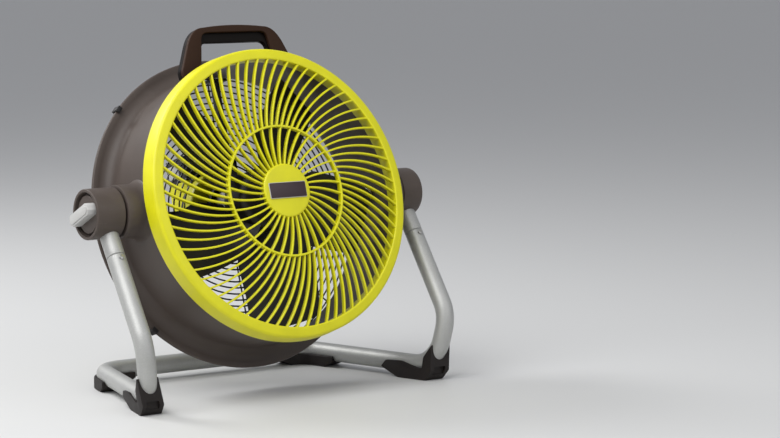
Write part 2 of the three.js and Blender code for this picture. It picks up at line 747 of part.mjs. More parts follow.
function legLine() {
  const half = [downLeg(1, STUB_END + GAP), KNEE, FRONT_CORNER, REAR_CORNER];
  const whole = [...half.map(mirrored), ...half.toReversed()];
  const { knee, front, rear } = BENDS;
  return new BentLine(whole, [knee, front, rear, rear, front, knee], 3);
}

// A screw in the front of each leg, just below the seam.
function legScrew(side, slack = 0) {
  const start = downLeg(side, STUB_END + LEG_SCREW.down);
  const outward = new THREE.Vector3(0, legDirection.z, -legDirection.y).normalize();
  const shank = rod(LEG_SCREW.radius + slack, slack ? 0 : 1, TUBE_RADIUS + 1, 10);
  const cap = rod(LEG_SCREW.head, TUBE_RADIUS + GAP, TUBE_RADIUS + GAP + LEG_SCREW.proud, 12);
  return aimed(slack ? shank : join(shank, cap), start, outward);
}

function legFrame() {
  const tube = pipe(legLine(), TUBE_RADIUS, TUBE_RADIUS - TUBE_WALL, 12);
  return cut(tube, ...SIDES.map(({ side }) => legScrew(side, GAP)));
}

function legStub(side, slack = 0) {
  const arm = rod(TUBE_RADIUS + slack, STUB_START - slack, STUB_END + slack, 20);
  if (slack) return aimed(arm, downLeg(side, 0), legAxis(side));
  const spigot = rod(TUBE_RADIUS - TUBE_WALL - GAP - 0.3, STUB_END - 1, STUB_END + SPIGOT, 12);
  return cut(aimed(join(arm, spigot), downLeg(side, 0), legAxis(side)), legScrew(side, GAP));
}

function pivotHousing(side) {
  const atPivot = (geometry) => geometry.translate(0, 0, PIVOT_HEIGHT);
  const out = side < 0 ? HOUSING_OUT.left : HOUSING_OUT.right;
  const open = [
    [0, HOUSING_IN],
    [HOUSING_RADIUS, HOUSING_IN],
    [HOUSING_RADIUS, out - 1.5],
    [HOUSING_RADIUS - 1.5, out],
    [RECESS_RADIUS + 0.6, out],
    [RECESS_RADIUS, RECESS_FLOOR],
    [0, RECESS_FLOOR],
  ];
  const closed = [
    [0, HOUSING_IN],
    [HOUSING_RADIUS, HOUSING_IN],
    ...arc([HOUSING_RADIUS - HOUSING_FILLET, out - HOUSING_FILLET], HOUSING_FILLET, 0, 90, 3),
    [0, out],
  ];
  const body = atPivot(turnedOut(side < 0 ? open : closed, side));
  const boreEnd = side < 0 ? out + 5 : HOUSING_IN + NUT.thick + 9;
  const tools = [atPivot(boltBore(side, HOUSING_IN - 5, boreEnd)), legStub(side, GAP)];
  const nutPocket = rod(NUT.corner + PLAY, HOUSING_IN - 5, HOUSING_IN + NUT.thick + GAP, 16);
  nutPocket.rotateZ((-side * Math.PI) / 2);
  return cut(body, ...tools, ...(side > 0 ? [atPivot(nutPocket)] : []));
}

function tiltKnob() {
  const floor = RECESS_FLOOR + GAP;
  const top = floor + KNOB.discThick;
  const rim = [[KNOB.disc, floor], [KNOB.disc, top - 1], [KNOB.disc - 1, top]];
  const disc = turnedOut([[0, floor], ...rim, [0, top]], -1);
  const { nick } = KNOB;
  const [long, wide] = [KNOB.length / 2, KNOB.width / 2];
  const corner = [[long, wide - nick], [long - nick, wide]];
  const across = ([x, y]) => [-x, y];
  const turnedRound = ([x, y]) => [-x, -y];
  const below = ([x, y]) => [x, -y];
  const lever = outlineShape([
    ...corner,
    ...corner.map(across).reverse(),
    ...corner.map(turnedRound),
    ...corner.map(below).reverse(),
  ]);
  const grip = new THREE.ExtrudeGeometry(lever, {
    depth: KNOB.out - top,
    bevelEnabled: true,
    bevelSegments: 1,
    bevelSize: 1,
    bevelThickness: 1,
    bevelOffset: -1,
  });
  grip.translate(0, 0, top - 1).rotateY(-Math.PI / 2).rotateX(Math.PI / 2 - radians(KNOB.turn));
  const bore = boltBore(-1, floor - 5, KNOB.out - 7);
  return cut(join(disc, grip), bore).translate(0, 0, PIVOT_HEIGHT);
}

// ---- stand: boots and pads ----
// Both are cut to the tube. A boot faces ahead, leans out with the leg and swings round with the rail.
const railDirection = REAR_CORNER.clone().sub(FRONT_CORNER).normalize();
const railSlope = -railDirection.x / railDirection.y;
const tubeCutter = () => pipe(legLine(), TUBE_RADIUS + GAP, 0, 12);
const legLean = (KNEE.x - FRONT_CORNER.x) / (KNEE.z - FRONT_CORNER.z);

// Points are [back, up]: back from the boot's front face, up from the floor.
function sideBlock(points, width) {
  const outline = outlineShape(points);
  const block = new THREE.ExtrudeGeometry(outline, { depth: width, bevelEnabled: false });
  return block.rotateX(Math.PI / 2).rotateZ(Math.PI / 2).translate(-width / 2, 0, 0);
}

function frontBoot() {
  const front = [[5, 44], [0, 12], [10, 0]];
  const heel = [[50, 0], [77, 11], [71, 19.5], [48, 20.5]];
  const step = [[21, 13.5], [16, 15], [16, 28]];
  const block = sideBlock([...front, ...heel, ...step], BOOT_WIDTH).translate(0, -BOOT_FACE, 0);
  const { half, low, high, deep } = WINDOW;
  const window = bar([-half, half], [BOOT_FACE - deep, BOOT_FACE + 5], [low, high]);
  const { radius, height } = THROAT;
  const notch = [...arc([0, height], radius, 180, 360, 8), [radius, height + 10], [-radius, height + 10]];
  const throat = slab(outlineShape(notch), 0, BOOT_FACE + 1);
  const boot = cut(block, window, throat);
  const place = boot.getAttribute("position");
  for (let i = 0; i < place.count; i += 1) {
    const lean = legLean * (place.getZ(i) - FRONT_CORNER.z);
    const swing = Math.max(0, place.getY(i)) * railSlope;
    place.setX(i, place.getX(i) + lean - swing);
  }
  return cut(boot.translate(FRONT_CORNER.x, FRONT_CORNER.y, 0), tubeCutter());
}

// A flat-bottomed bar that follows the tube round its rear bend.
function rearPad() {
  const corner = REAR_CORNER.clone().setZ(PAD_THICK / 2);
  const start = corner.clone().addScaledVector(railDirection, -PAD_ARM.rail);
  const end = corner.clone().add(new THREE.Vector3(-PAD_ARM.bar, 0, 0));
  const line = new BentLine([start, corner, end], [BENDS.rear], 6);
  const [x, y] = [PAD_THICK / 2, BOOT_WIDTH / 2];
  const section = outlineShape([[-x, -y], [x, -y], [x, y], [-x, y]]);
  const options = { extrudePath: line, steps: line.sections, bevelEnabled: false };
  return cut(new THREE.ExtrudeGeometry(section, options), tubeCutter());
}

const flipped = (geometry) => geometry.clone().scale(-1, 1, 1);

// ---- putting it together ----
part(stand, "leg_frame", legFrame(), SILVER);
SIDES.forEach(({ name, side }) => {
  part(stand, `leg_stub_${name}`, legStub(side), SILVER);
  part(stand, `leg_screw_${name}`, legScrew(side), STEEL);
  part(stand, `pivot_housing_${name}`, pivotHousing(side), GRAPHITE);
  const washer = ring(BOLT_RADIUS + PLAY + 2, WASHER_RADIUS, WASHER_OUT, WASHER_OUT + WASHER_THICK);
  washer.rotateZ((side * Math.PI) / 2).translate(0, 0, PIVOT_HEIGHT);
  part(stand, `friction_washer_${name}`, washer, BLACK);
  part(stand, `front_boot_${name}`, side < 0 ? flipped(frontBoot()) : frontBoot(), RUBBER);
  part(stand, `rear_pad_${name}`, side < 0 ? flipped(rearPad()) : rearPad(), RUBBER);
});
part(stand, "tilt_knob", tiltKnob(), PALE_GREY);

part(head, "drum_shell", drumShell(), GRAPHITE);
part(head, "front_guard", frontGuard(), LIME);
part(head, "badge_plate", badgePlate(), BLACK);
part(head, "rear_guard", rearGuard(), BLACK);
[45, 135, 225, 315].forEach((angle, i) => part(head, `rim_clip_${i + 1}`, rimClip(angle), BLACK));
SIDES.forEach(({ name, side }) => {
  part(head, `pivot_boss_${name}`, pivotBoss(side), GRAPHITE);
  part(head, `pivot_bolt_${name}`, pivotBolt(side), STEEL);
});
const pivotNut = hexNut(NUT.corner, BOLT_RADIUS + GAP, HOUSING_IN + GAP, HOUSING_IN + NUT.thick);
part(head, "pivot_nut_right", pivotNut.rotateZ(Math.PI / 2), STEEL);
part(head, "handle_front_shell", handleShell(HANDLE_BAND, HANDLE_SPLIT + GAP / 2, HANDLE_FRONT), GRAPHITE);
part(head, "handle_rear_shell", handleShell(HANDLE_GRIP, HANDLE_BACK, HANDLE_SPLIT - GAP / 2), BLACK);
SIDES.forEach(({ name, side }) => part(head, `handle_screw_${name}`, handleScrew(side), STEEL));

const windings = [MOTOR.rear + 6, MOTOR.front - 8]; // rear and front ends of the stator and the rotor
const endPlate = [MOTOR.rear - GAP - 2, MOTOR.rear - GAP];
const seat = SHAFT_RADIUS + GAP;
const frontBearing = ring(seat, BEARING_RADIUS, MOTOR.front - 5, MOTOR.front, 14);
const rearBearing = ring(seat, BEARING_RADIUS, endPlate[0], MOTOR.rear + 2.4, 14);
part(head, "motor_can", motorCan(), STEEL);
part(head, "motor_end_plate", ring(BEARING_RADIUS + GAP, MOTOR.radius, ...endPlate), STEEL);
part(head, "motor_stator", ring(ROTOR_RADIUS + 0.8, MOTOR.radius - MOTOR.wall - GAP, ...windings), COPPER);
part(head, "bearing_front", frontBearing, STEEL);
part(head, "bearing_rear", rearBearing, STEEL);
part(head, "motor_bracket", motorBracket(), BLACK);
part(head, "pod_housing", podHousing(), LIME);
const { half, low, high, thick, inset } = BOARD_SIZE;
const boardRear = POD.rear + inset;
part(head, "control_board", bar([-half, half], [boardRear, boardRear + thick], [low, high]), BOARD);
part(head, "battery_dock", batteryDock(), BLACK);
part(head, "dock_terminals", dockTerminals(), COPPER);
part(head, "speed_dial", speedDial(), PALE_GREY);

const shaftEnds = [POD.front + 1, FAN_HUB.front + 8];
part(head, "fan_blade", fanBlade(), BLACK);
part(head, "motor_shaft", ring(0, SHAFT_RADIUS, ...shaftEnds, 14), STEEL);
part(head, "motor_rotor", ring(seat, ROTOR_RADIUS, ...windings), BLACK);
part(head, "blade_nut", hexNut(BLADE_NUT, seat, FAN_HUB.front + GAP, FAN_HUB.front + 6), STEEL);

part(head, "battery_pack", batteryShell(BATTERY.low, BATTERY_SPLIT - GAP / 2), LIME);
part(head, "battery_cap", batteryShell(BATTERY_SPLIT + GAP / 2, BATTERY.high), BLACK);
SIDES.forEach(({ name, side }) => part(head, `battery_latch_${name}`, latchButton(side), PALE_GREY));

// The origin is on the floor, under the middle of the whole object.
fan.updateMatrixWorld(true);
const whole = new THREE.Box3().setFromObject(fan, true);
fan.position.set(-(whole.min.x + whole.max.x) / 2, -(whole.min.y + whole.max.y) / 2, -whole.min.z);

export default fan;
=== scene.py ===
# %% [markdown]
# # A drum fan on a tube stand
# The fan's head is a drum that hangs between two pivots, so it can face the ceiling or the floor.
# The moving parts are already solved in the CAD model, which loads first and never moves. This
# script gives every piece its fine surface and its finish. Lengths are in millimetres until the
# last step, which turns them to metres.

# %% Load the frame
import json
import math

import bmesh
import bpy
import numpy as np
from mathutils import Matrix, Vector


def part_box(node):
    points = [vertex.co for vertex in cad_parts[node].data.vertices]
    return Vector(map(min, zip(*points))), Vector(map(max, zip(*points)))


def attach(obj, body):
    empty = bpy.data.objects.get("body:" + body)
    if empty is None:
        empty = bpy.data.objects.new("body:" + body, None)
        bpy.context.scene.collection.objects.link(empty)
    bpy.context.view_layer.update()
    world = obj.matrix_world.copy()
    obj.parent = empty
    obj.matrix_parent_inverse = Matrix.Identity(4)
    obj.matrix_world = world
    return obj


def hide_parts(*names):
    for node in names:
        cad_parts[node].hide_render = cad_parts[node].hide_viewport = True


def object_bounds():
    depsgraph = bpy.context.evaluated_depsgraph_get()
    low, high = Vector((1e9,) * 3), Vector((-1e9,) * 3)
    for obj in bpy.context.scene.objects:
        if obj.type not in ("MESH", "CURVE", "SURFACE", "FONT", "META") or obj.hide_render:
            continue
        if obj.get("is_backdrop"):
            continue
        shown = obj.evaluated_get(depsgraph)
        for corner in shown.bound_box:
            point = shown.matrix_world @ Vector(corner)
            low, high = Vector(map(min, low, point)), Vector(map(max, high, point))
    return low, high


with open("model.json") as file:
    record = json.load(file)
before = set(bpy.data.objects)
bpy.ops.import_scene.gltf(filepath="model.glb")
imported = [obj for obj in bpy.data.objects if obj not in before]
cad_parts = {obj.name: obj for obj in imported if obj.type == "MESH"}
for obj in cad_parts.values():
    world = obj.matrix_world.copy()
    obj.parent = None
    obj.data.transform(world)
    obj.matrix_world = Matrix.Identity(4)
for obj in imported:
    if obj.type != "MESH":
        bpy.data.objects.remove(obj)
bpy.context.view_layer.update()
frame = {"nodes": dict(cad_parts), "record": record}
MM = 0.001
TURN = 2 * math.pi

# %% [markdown]
# ## Where things are
# Everything round on the head is turned about the fan's own axis, which leans back by the tilt
# angle. Three directions describe the head: sideways, ahead (the way the air blows) and up. They
# come from the joints of the CAD model, so the looks follow the frame if the tilt is ever changed.

# %% Directions and places
joints = {joint["name"]: joint for joint in frame["record"]["behaviour"]["joints"]}
PIVOT = np.array(joints["head_tilt"]["pos_m"])
AHEAD = np.array(joints["fan_spin"]["axis"])
SIDEWAYS = np.array([1.0, 0.0, 0.0])
UP = np.cross(AHEAD, SIDEWAYS)
PIVOT_HEIGHT = PIVOT[2] / MM


def on_head(side, ahead, up):
    """Points in the row frame from millimetres sideways, ahead of the pivots and up, on the tilted head."""
    side, ahead, up = np.broadcast_arrays(side, ahead, up)
    offset = side[..., None] * SIDEWAYS + ahead[..., None] * AHEAD + up[..., None] * UP
    return PIVOT + MM * offset


def on_stand(x, y, z):
    """Points in the row frame from millimetres beside the middle, behind the pivots and above the floor."""
    x, y, z = np.broadcast_arrays(x, y, z)
    return MM * np.stack([x, y, z], -1) + [PIVOT[0], PIVOT[1], 0.0]


print("the fan looks up by", round(math.degrees(math.asin(AHEAD[2])), 1), "degrees")

# %% [markdown]
# ## The camera
# The camera stands low and to the fan's left, with a long lens, so the drum shows its side and the
# circles turn to narrow ellipses. Its direction, distance and lens are plain numbers.

# %% Camera
AZIMUTH, ELEVATION = math.radians(-36.05), math.radians(6.3)
DISTANCE = 3.0752
LENS = 123.26
AIM = PIVOT + np.array([0.06836, -0.17509, -0.0088])
back = Vector((
    math.sin(AZIMUTH) * math.cos(ELEVATION),
    -math.cos(AZIMUTH) * math.cos(ELEVATION),
    math.sin(ELEVATION),
))
camera = bpy.data.objects.new("camera", bpy.data.cameras.new("camera"))
camera.data.lens = LENS
camera.location = Vector(AIM) + back * DISTANCE
camera.rotation_mode = "QUATERNION"
camera.rotation_quaternion = (-back).to_track_quat("-Z", "Y")
bpy.context.scene.collection.objects.link(camera)
bpy.context.scene.camera = camera
print("the camera is", round(DISTANCE, 2), "m away")

# %% [markdown]
# ## From arrays to meshes
# Most pieces are grids: a profile carried round an axis or along a path. A grid is an array of
# points with rows and columns, and its faces are the same pattern of corner numbers for every
# piece, so one function makes them. Corners are rounded in the profile itself, because nothing
# moulded or pressed has a knife edge.

# %% Grids
def quads(rows, cols, wrap_rows):
    """Corner numbers of a grid's four-sided faces. Columns always join last to first, rows where wrapped."""
    r, c = np.meshgrid(np.arange(rows if wrap_rows else rows - 1), np.arange(cols), indexing="ij")
    r2, c2 = (r + 1) % rows, (c + 1) % cols
    return np.stack([r * cols + c, r2 * cols + c, r2 * cols + c2, r * cols + c2], -1).reshape(-1, 4)


def surface(points, wrap_rows=False, capped=False):
    """One shell: a grid of points, its faces, and two end faces where capped."""
    rows, cols = points.shape[:2]
    faces = quads(rows, cols, wrap_rows).tolist()
    if capped:
        faces += [list(range(cols)), list(range((rows - 1) * cols, rows * cols))]
    return points.reshape(-1, 3), faces


def soften(corners, cut=1.0, steps=4):
    """An outline whose corners are cut back by a distance. Each corner becomes a short parabola."""
    here = np.asarray(corners, float)
    cut = np.broadcast_to(np.asarray(cut, float), len(here))[:, None]
    before, after = np.roll(here, 1, 0) - here, np.roll(here, -1, 0) - here
    reach = [np.linalg.norm(edge, axis=1, keepdims=True) + 1e-9 for edge in (before, after)]
    room = np.minimum(cut, 0.48 * np.minimum(*reach))
    start, end = here + before / reach[0] * room, here + after / reach[1] * room
    t = np.linspace(0, 1, steps + 1)[None, :, None]
    rounded = (1 - t) ** 2 * start[:, None] + 2 * t * (1 - t) * here[:, None] + t**2 * end[:, None]
    return rounded.reshape(-1, 2)


def arc(centre, radius, start, stop, steps=12):
    """Points on a circle's arc from one angle to another, in degrees."""
    angle = np.radians(np.linspace(start, stop, steps + 1))
    return np.stack([centre[0] + radius * np.cos(angle), centre[1] + radius * np.sin(angle)], -1)


def turned(profile, steps=128):
    """A profile of (radius, ahead) points carried round the fan's axis: side = r cos a, up = r sin a."""
    angle = np.linspace(0, TURN, steps, endpoint=False)[None, :]
    radius, ahead = np.asarray(profile, float).T[:, :, None]
    points = on_head(radius * np.cos(angle), ahead + 0 * angle, radius * np.sin(angle))
    return surface(points, wrap_rows=True)


def turned_out(profile, side, steps=96):
    """A profile of (radius, out) points carried round the pivot axis, out towards one side."""
    angle = np.linspace(0, TURN, steps, endpoint=False)[None, :]
    radius, out = np.asarray(profile, float).T[:, :, None]
    points = on_stand(side * out + 0 * angle, radius * np.cos(angle), PIVOT_HEIGHT + radius * np.sin(angle))
    return surface(points, wrap_rows=True)


def swept(path, radius, sides=24):
    """A round tube: a circle carried along a path, turned only as much as the path turns."""
    path = np.asarray(path, float)
    tangent = np.gradient(path, axis=0)
    tangent /= np.linalg.norm(tangent, axis=1, keepdims=True)
    across = np.cross(tangent[0], [0.31, 0.52, 0.79])
    frames = []
    for direction in tangent:
        across = across - direction * across.dot(direction)
        across = across / np.linalg.norm(across)
        frames.append(across)
    across = np.array(frames)[:, None]
    angle = np.linspace(0, TURN, sides, endpoint=False)[None, :, None]
    radius = np.broadcast_to(radius, len(path))[:, None, None]
    rim = np.cos(angle) * across + np.sin(angle) * np.cross(tangent[:, None], across)
    return surface(path[:, None] + MM * radius * rim, capped=True)


def prism(outline, low, high, place):
    """An outline of (a, b) points thickened from low to high, and put in place by place(a, b, level)."""
    a, b = np.asarray(outline, float).T
    level = np.array([low, high], float)[:, None]
    return surface(place(a[None] + 0 * level, b[None] + 0 * level, level + 0 * a[None]), capped=True)


def on_face(a, b, level):
    """Places an outline drawn on the head's face: a is sideways, b is up and level is ahead."""
    return on_head(a, level, b)


print("a grid of 3 by 4 points has", len(quads(3, 4, False)), "faces when its columns wrap")

# %% [markdown]
# A piece is one mesh made of one or more shells. Its doubled points are merged and its faces turned
# outwards before any modifier sees it. Edges sharper than a set angle stay crisp and the rest shade
# smoothly.

# %% Pieces
FLAT_ANGLE = math.radians(0.5)
pieces = {}


def joined_mesh(name, shells):
    """One mesh from shells of points and faces, its faces outwards."""
    points, faces, start = [], [], 0
    for shell_points, shell_faces in shells:
        points.append(shell_points)
        faces += [[start + corner for corner in face] for face in shell_faces]
        start += len(shell_points)
    mesh = bpy.data.meshes.new(name)
    mesh.from_pydata(np.concatenate(points).tolist(), [], faces)
    outward(mesh)
    return mesh


def piece(name, shells, finish, body, stands_for=(), bevel=0.0, crease=32):
    """A named object from shells of points and faces, riding on a body and standing for CAD nodes."""
    thing = bpy.data.objects.new(name, joined_mesh(name, shells))
    return finished(thing, finish, body, stands_for, bevel, crease)


def outward(mesh, merge=2e-6):
    """Merges doubled points, drops faces of no area and turns every face outwards."""
    shell = bmesh.new()
    shell.from_mesh(mesh)
    bmesh.ops.remove_doubles(shell, verts=shell.verts, dist=merge)
    bmesh.ops.dissolve_degenerate(shell, edges=shell.edges, dist=merge / 2)
    bmesh.ops.recalc_face_normals(shell, faces=shell.faces)
    shell.to_mesh(mesh)
    shell.free()


def finished(thing, finish, body, stands_for=(), bevel=0.0, crease=32):
    """Links an object, gives it a finish and a bevel, and hands it to the frame."""
    if thing.name not in bpy.context.scene.collection.objects:
        bpy.context.scene.collection.objects.link(thing)
    thing.data.materials.clear()
    thing.data.materials.append(finish.material)
    if bevel:
        edge = thing.modifiers.new("soft edges", "BEVEL")
        edge.width, edge.segments, edge.limit_method = bevel * MM, 3, "ANGLE"
        edge.angle_limit = math.radians(30)
        edge.harden_normals = False
        apply_modifiers(thing)
    thing.data.shade_smooth()
    thing.data.set_sharp_from_angle(angle=math.radians(crease))
    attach(thing, body)
    if stands_for:
        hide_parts(*([stands_for] if isinstance(stands_for, str) else stands_for))
    pieces[thing.name] = thing
    return thing


def apply_modifiers(thing):
    """Replaces an object's mesh by what its modifiers make of it."""
    bpy.context.view_layer.update()
    evaluated = thing.evaluated_get(bpy.context.evaluated_depsgraph_get())
    mesh = bpy.data.meshes.new_from_object(evaluated)
    thing.modifiers.clear()
    thing.data = mesh


def from_cad(node, finish, body, bevel):
    """A copy of a CAD node with its doubles merged, flat facets joined and its edges rounded."""
    mesh = frame["nodes"][node].data.copy()
    outward(mesh, 1e-5)
    shell = bmesh.new()
    shell.from_mesh(mesh)
    bmesh.ops.dissolve_limit(shell, angle_limit=FLAT_ANGLE, verts=shell.verts, edges=shell.edges)
    shell.to_mesh(mesh)
    shell.free()
    thing = bpy.data.objects.new(f"{node}_fine", mesh)
    return finished(thing, finish, body, node, bevel)


print("pieces are named as a maker would name them")

# %% [markdown]
# ## Finishes
# A finish is built from nodes. Writing every Math node by hand hides what the recipe says, so a
# small class wraps a socket and turns Python's arithmetic into nodes: 1 - dirt makes a subtract
# node. Everything that varies over a surface reads Object coordinates, in metres, so a noise of
# scale 400 has grains of about 2.5 mm.

# %% Sockets that do arithmetic
class Link:
    """A shader socket that Python's arithmetic turns into Math nodes."""

    def __init__(self, finish, socket):
        self.finish, self.socket = finish, socket

    def math(self, operation, *others):
        settings = {"operation": operation}
        return self.finish.node("ShaderNodeMath", settings, dict(enumerate((self, *others))))

    def swapped(self, operation, other):
        return self.finish.node("ShaderNodeMath", {"operation": operation}, {0: other, 1: self})

    def __add__(self, other):
        return self.math("ADD", other)

    def __sub__(self, other):
        return self.math("SUBTRACT", other)

    def __rsub__(self, other):
        return self.swapped("SUBTRACT", other)

    def __mul__(self, other):
        return self.math("MULTIPLY", other)

    __radd__, __rmul__ = __add__, __mul__

    def between(self, low, high):
        """0 below low, 1 above high, and a smooth step between."""
        inputs = {"Value": self, "From Min": low, "From Max": high}
        return self.finish.node("ShaderNodeMapRange", {"interpolation_type": "SMOOTHSTEP"}, inputs)


def socket_name(key):
    """The shader's name for a keyword: base_color is Base Color."""
    return key.replace("_", " ").title().replace("Ior", "IOR")


class Finish:
    """A material around one Principled shader. Constants are set on the shader and links are fed to it."""

    def __init__(self, name, slot, **constants):
        self.material = bpy.data.materials.new(name)
        self.material.use_nodes = True
        self.slot = slot
        self.tree = self.material.node_tree
        self.shader = self.tree.nodes["Principled BSDF"]
        for key, value in constants.items():
            self.shader.inputs[socket_name(key)].default_value = value
        self.place = self.node("ShaderNodeTexCoord", {}, {}, "Object")

    def node(self, kind, settings, inputs, output=0):
        """Any node: its settings are set first, then the values or links of its sockets."""
        made = self.tree.nodes.new(kind)
        for key, value in settings.items():
            setattr(made, key, value)
        for key, value in inputs.items():
            if isinstance(value, Link):
                self.tree.links.new(value.socket, made.inputs[key])
            else:
                made.inputs[key].default_value = value
        return Link(self, made.outputs[output])

    def noise(self, scale, detail=2.0, roughness=0.5, place=None, distortion=0.0):
        inputs = {
            "Vector": place or self.place, "Scale": scale, "Detail": detail,
            "Roughness": roughness, "Distortion": distortion,
        }
        return self.node("ShaderNodeTexNoise", {}, inputs)

    def stretched(self, scales):
        """Object coordinates squeezed along the axes, for marks that run one way."""
        inputs = {"Vector": self.place, "Scale": scales}
        return self.node("ShaderNodeMapping", {"vector_type": "POINT"}, inputs)

    def mix(self, factor, first, second):
        """A colour between two others. Colours are linear red, green and blue."""
        pad = [colour if isinstance(colour, Link) else (*colour[:3], 1.0) for colour in (first, second)]
        return self.node("ShaderNodeMix", {"data_type": "RGBA"}, {0: factor, 6: pad[0], 7: pad[1]}, 2)

    def bump(self, height, depth_mm, under=None):
        """A relief whose height of 1 stands depth_mm proud, laid over an earlier relief."""
        inputs = {"Height": height, "Distance": depth_mm * MM, "Strength": 1.0}
        if under is not None:
            inputs["Normal"] = under
        return self.node("ShaderNodeBump", {}, inputs)

    def feed(self, **links):
        for key, link in links.items():
            self.tree.links.new(link.socket, self.shader.inputs[socket_name(key)])
        return self


print("a finish is one Principled shader with its links")

# %% [markdown]
# ### Moulded plastic
# Most of the head is moulded plastic. The mould's spark-eroded skin gives a fine grain. Handling
# polishes some of it and dulls the rest, so the roughness wanders slowly. Fine scuffs run in two
# directions and show paler, and some dust lies in the colour. The same recipe serves lime,
# graphite, black and pale grey with other numbers.

# %% Moulded plastics
def darker(colour, share):
    return tuple(channel * share for channel in colour)


def moulded(name, slot, colour, pale, roughness, grain_mm=0.5, grain_depth=0.012, wear=0.5, **constants):
    """Fine grain, slow changes of polish, thin crossing scuffs and a little dust."""
    finish = Finish(name, slot, **constants)
    slow = finish.noise(9.0, 4.0, 0.6)
    cloud = finish.noise(38.0, 3.0, 0.55)
    grain = finish.noise(1 / (grain_mm * MM), 2.0, 0.5)
    scuff_a = finish.noise(26.0, 3.0, 0.7, finish.stretched((1.0, 14.0, 9.0)), 0.4).between(0.66, 0.74)
    scuff_b = finish.noise(22.0, 3.0, 0.7, finish.stretched((12.0, 1.5, 16.0)), 0.6).between(0.67, 0.76)
    scuffs = (scuff_a + scuff_b).math("MINIMUM", 1.0) * cloud.between(0.42, 0.6)
    dust = slow.between(0.5, 0.75) * finish.noise(160.0, 3.0, 0.7).between(0.45, 0.7)
    tone = finish.mix(cloud.between(0.3, 0.7), darker(colour, 0.93), colour)
    tone = finish.mix(dust * (0.16 * wear), tone, pale)
    tone = finish.mix(scuffs * (0.35 * wear), tone, pale)
    dull = roughness + (cloud - 0.5) * 0.16 + (slow - 0.5) * 0.12
    dull = dull + scuffs * (0.12 * wear) + (grain - 0.5) * 0.06
    relief = finish.bump(slow, 0.12)
    relief = finish.bump(grain, grain_depth, relief)
    relief = finish.bump(1 - scuffs, 0.008, relief)
    return finish.feed(base_color=tone, roughness=dull, normal=relief)


LIME_COLOUR = (0.70, 0.665, 0.003)
LIME_PALE = (0.74, 0.74, 0.10)
GRAPHITE_COLOUR = (0.077, 0.060, 0.051)
GREY_PALE = (0.30, 0.29, 0.275)
BLACK_COLOUR = (0.0085, 0.0072, 0.0068)
BLACK_PALE = (0.075, 0.07, 0.066)
HANDLE_COLOUR = (0.033, 0.015, 0.008)
# The handle's rear shell is near-black as painted shade. It stands for the shadow on the handle's side.
HANDLE_SIDE_SHADE_COLOUR = (0.006, 0.0042, 0.0034)
BADGE_COLOUR = (0.030, 0.014, 0.018)
RUBBER_COLOUR = (0.0115, 0.0078, 0.0066)
KNOB_COLOUR = (0.50, 0.495, 0.48)
KNOB_WORN = (0.3, 0.29, 0.27)
WIRE_COLOUR = (0.010, 0.010, 0.010)
lime = moulded("lime plastic", "lime_plastic", LIME_COLOUR, LIME_PALE, 0.42, 0.6, 0.008, 0.35)
graphite = moulded(
    "graphite plastic", "graphite_plastic", GRAPHITE_COLOUR, GREY_PALE, 0.46, 0.45, 0.012, 0.3,
    specular_ior_level=0.3,
)
black = moulded("black plastic", "black_plastic", BLACK_COLOUR, BLACK_PALE, 0.5, 0.45, 0.014, 0.6)
handle_brown = moulded(
    "handle plastic", "black_plastic", HANDLE_COLOUR, BLACK_PALE, 0.55, 0.5, 0.014, 0.3,
    specular_ior_level=0.15,
)
# Glossy near-black for the handle's rear shell: painted shade for the handle's shadowed side.
handle_side_shade_black = moulded(
    "handle plastic with painted side shade", "black_plastic", HANDLE_SIDE_SHADE_COLOUR, BLACK_PALE, 0.42, 0.5, 0.006, 0.3,
    specular_ior_level=0.1,
)
badge_brown = moulded("badge panel", "black_plastic", BADGE_COLOUR, BLACK_PALE, 0.36, 0.5, 0.006, 0.3)
foot = moulded(
    "foot rubber", "foot_rubber", RUBBER_COLOUR, BLACK_PALE, 0.6, 0.8, 0.03, 0.7,
    specular_ior_level=0.35,
)
knob_grey = moulded("pale grey plastic", "pale_grey_plastic", KNOB_COLOUR, KNOB_WORN, 0.45, 0.5, 0.01, 0.4)
wire_black = moulded("black wire", "black_wire", WIRE_COLOUR, BLACK_PALE, 0.38, 0.35, 0.01, 0.4)
print("moulded finishes made")

# %% [markdown]
# ### Silver tube and bare metals
# The stand is steel tube under a satin silver paint: fine metal flakes in a clear coat. The flakes
# are small cells that each lean a little, so the highlight sparkles instead of gliding. Where the
# tube meets the floor it is scratched. Screws and the motor are zinc-plated steel, with a faint
# yellow bloom.

# %% Metals
def silver_paint():
    """Flakes under a clear coat, with soft mottling, long hairlines and a few deeper marks."""
    finish = Finish("silver paint", "silver_tube", coat_weight=0.12, coat_roughness=0.35)
    flake = finish.node("ShaderNodeTexVoronoi", {}, {"Vector": finish.place, "Scale": 2600.0}, "Color")
    spark = finish.node("ShaderNodeSeparateColor", {}, {"Color": flake}, "Red")
    cloud = finish.noise(24.0, 4.0, 0.6)
    hair = finish.noise(30.0, 4.0, 0.75, finish.stretched((30.0, 2.0, 3.0)), 0.5).between(0.62, 0.7)
    marks = hair * cloud.between(0.5, 0.66)
    tone = finish.mix(spark, (0.38, 0.382, 0.37), (0.50, 0.503, 0.485))
    tone = finish.mix(cloud.between(0.35, 0.75) * 0.35, tone, (0.36, 0.36, 0.345))
    tone = finish.mix(marks * 0.5, tone, (0.24, 0.24, 0.23))
    dull = 0.52 + (spark - 0.5) * 0.08 + (cloud - 0.5) * 0.16 + marks * 0.12
    relief = finish.bump(spark, 0.0012)
    relief = finish.bump(cloud, 0.05, relief)
    relief = finish.bump(1 - marks, 0.012, relief)
    metal = 0.5 - marks * 0.3
    return finish.feed(base_color=tone, roughness=dull, metallic=metal, normal=relief)


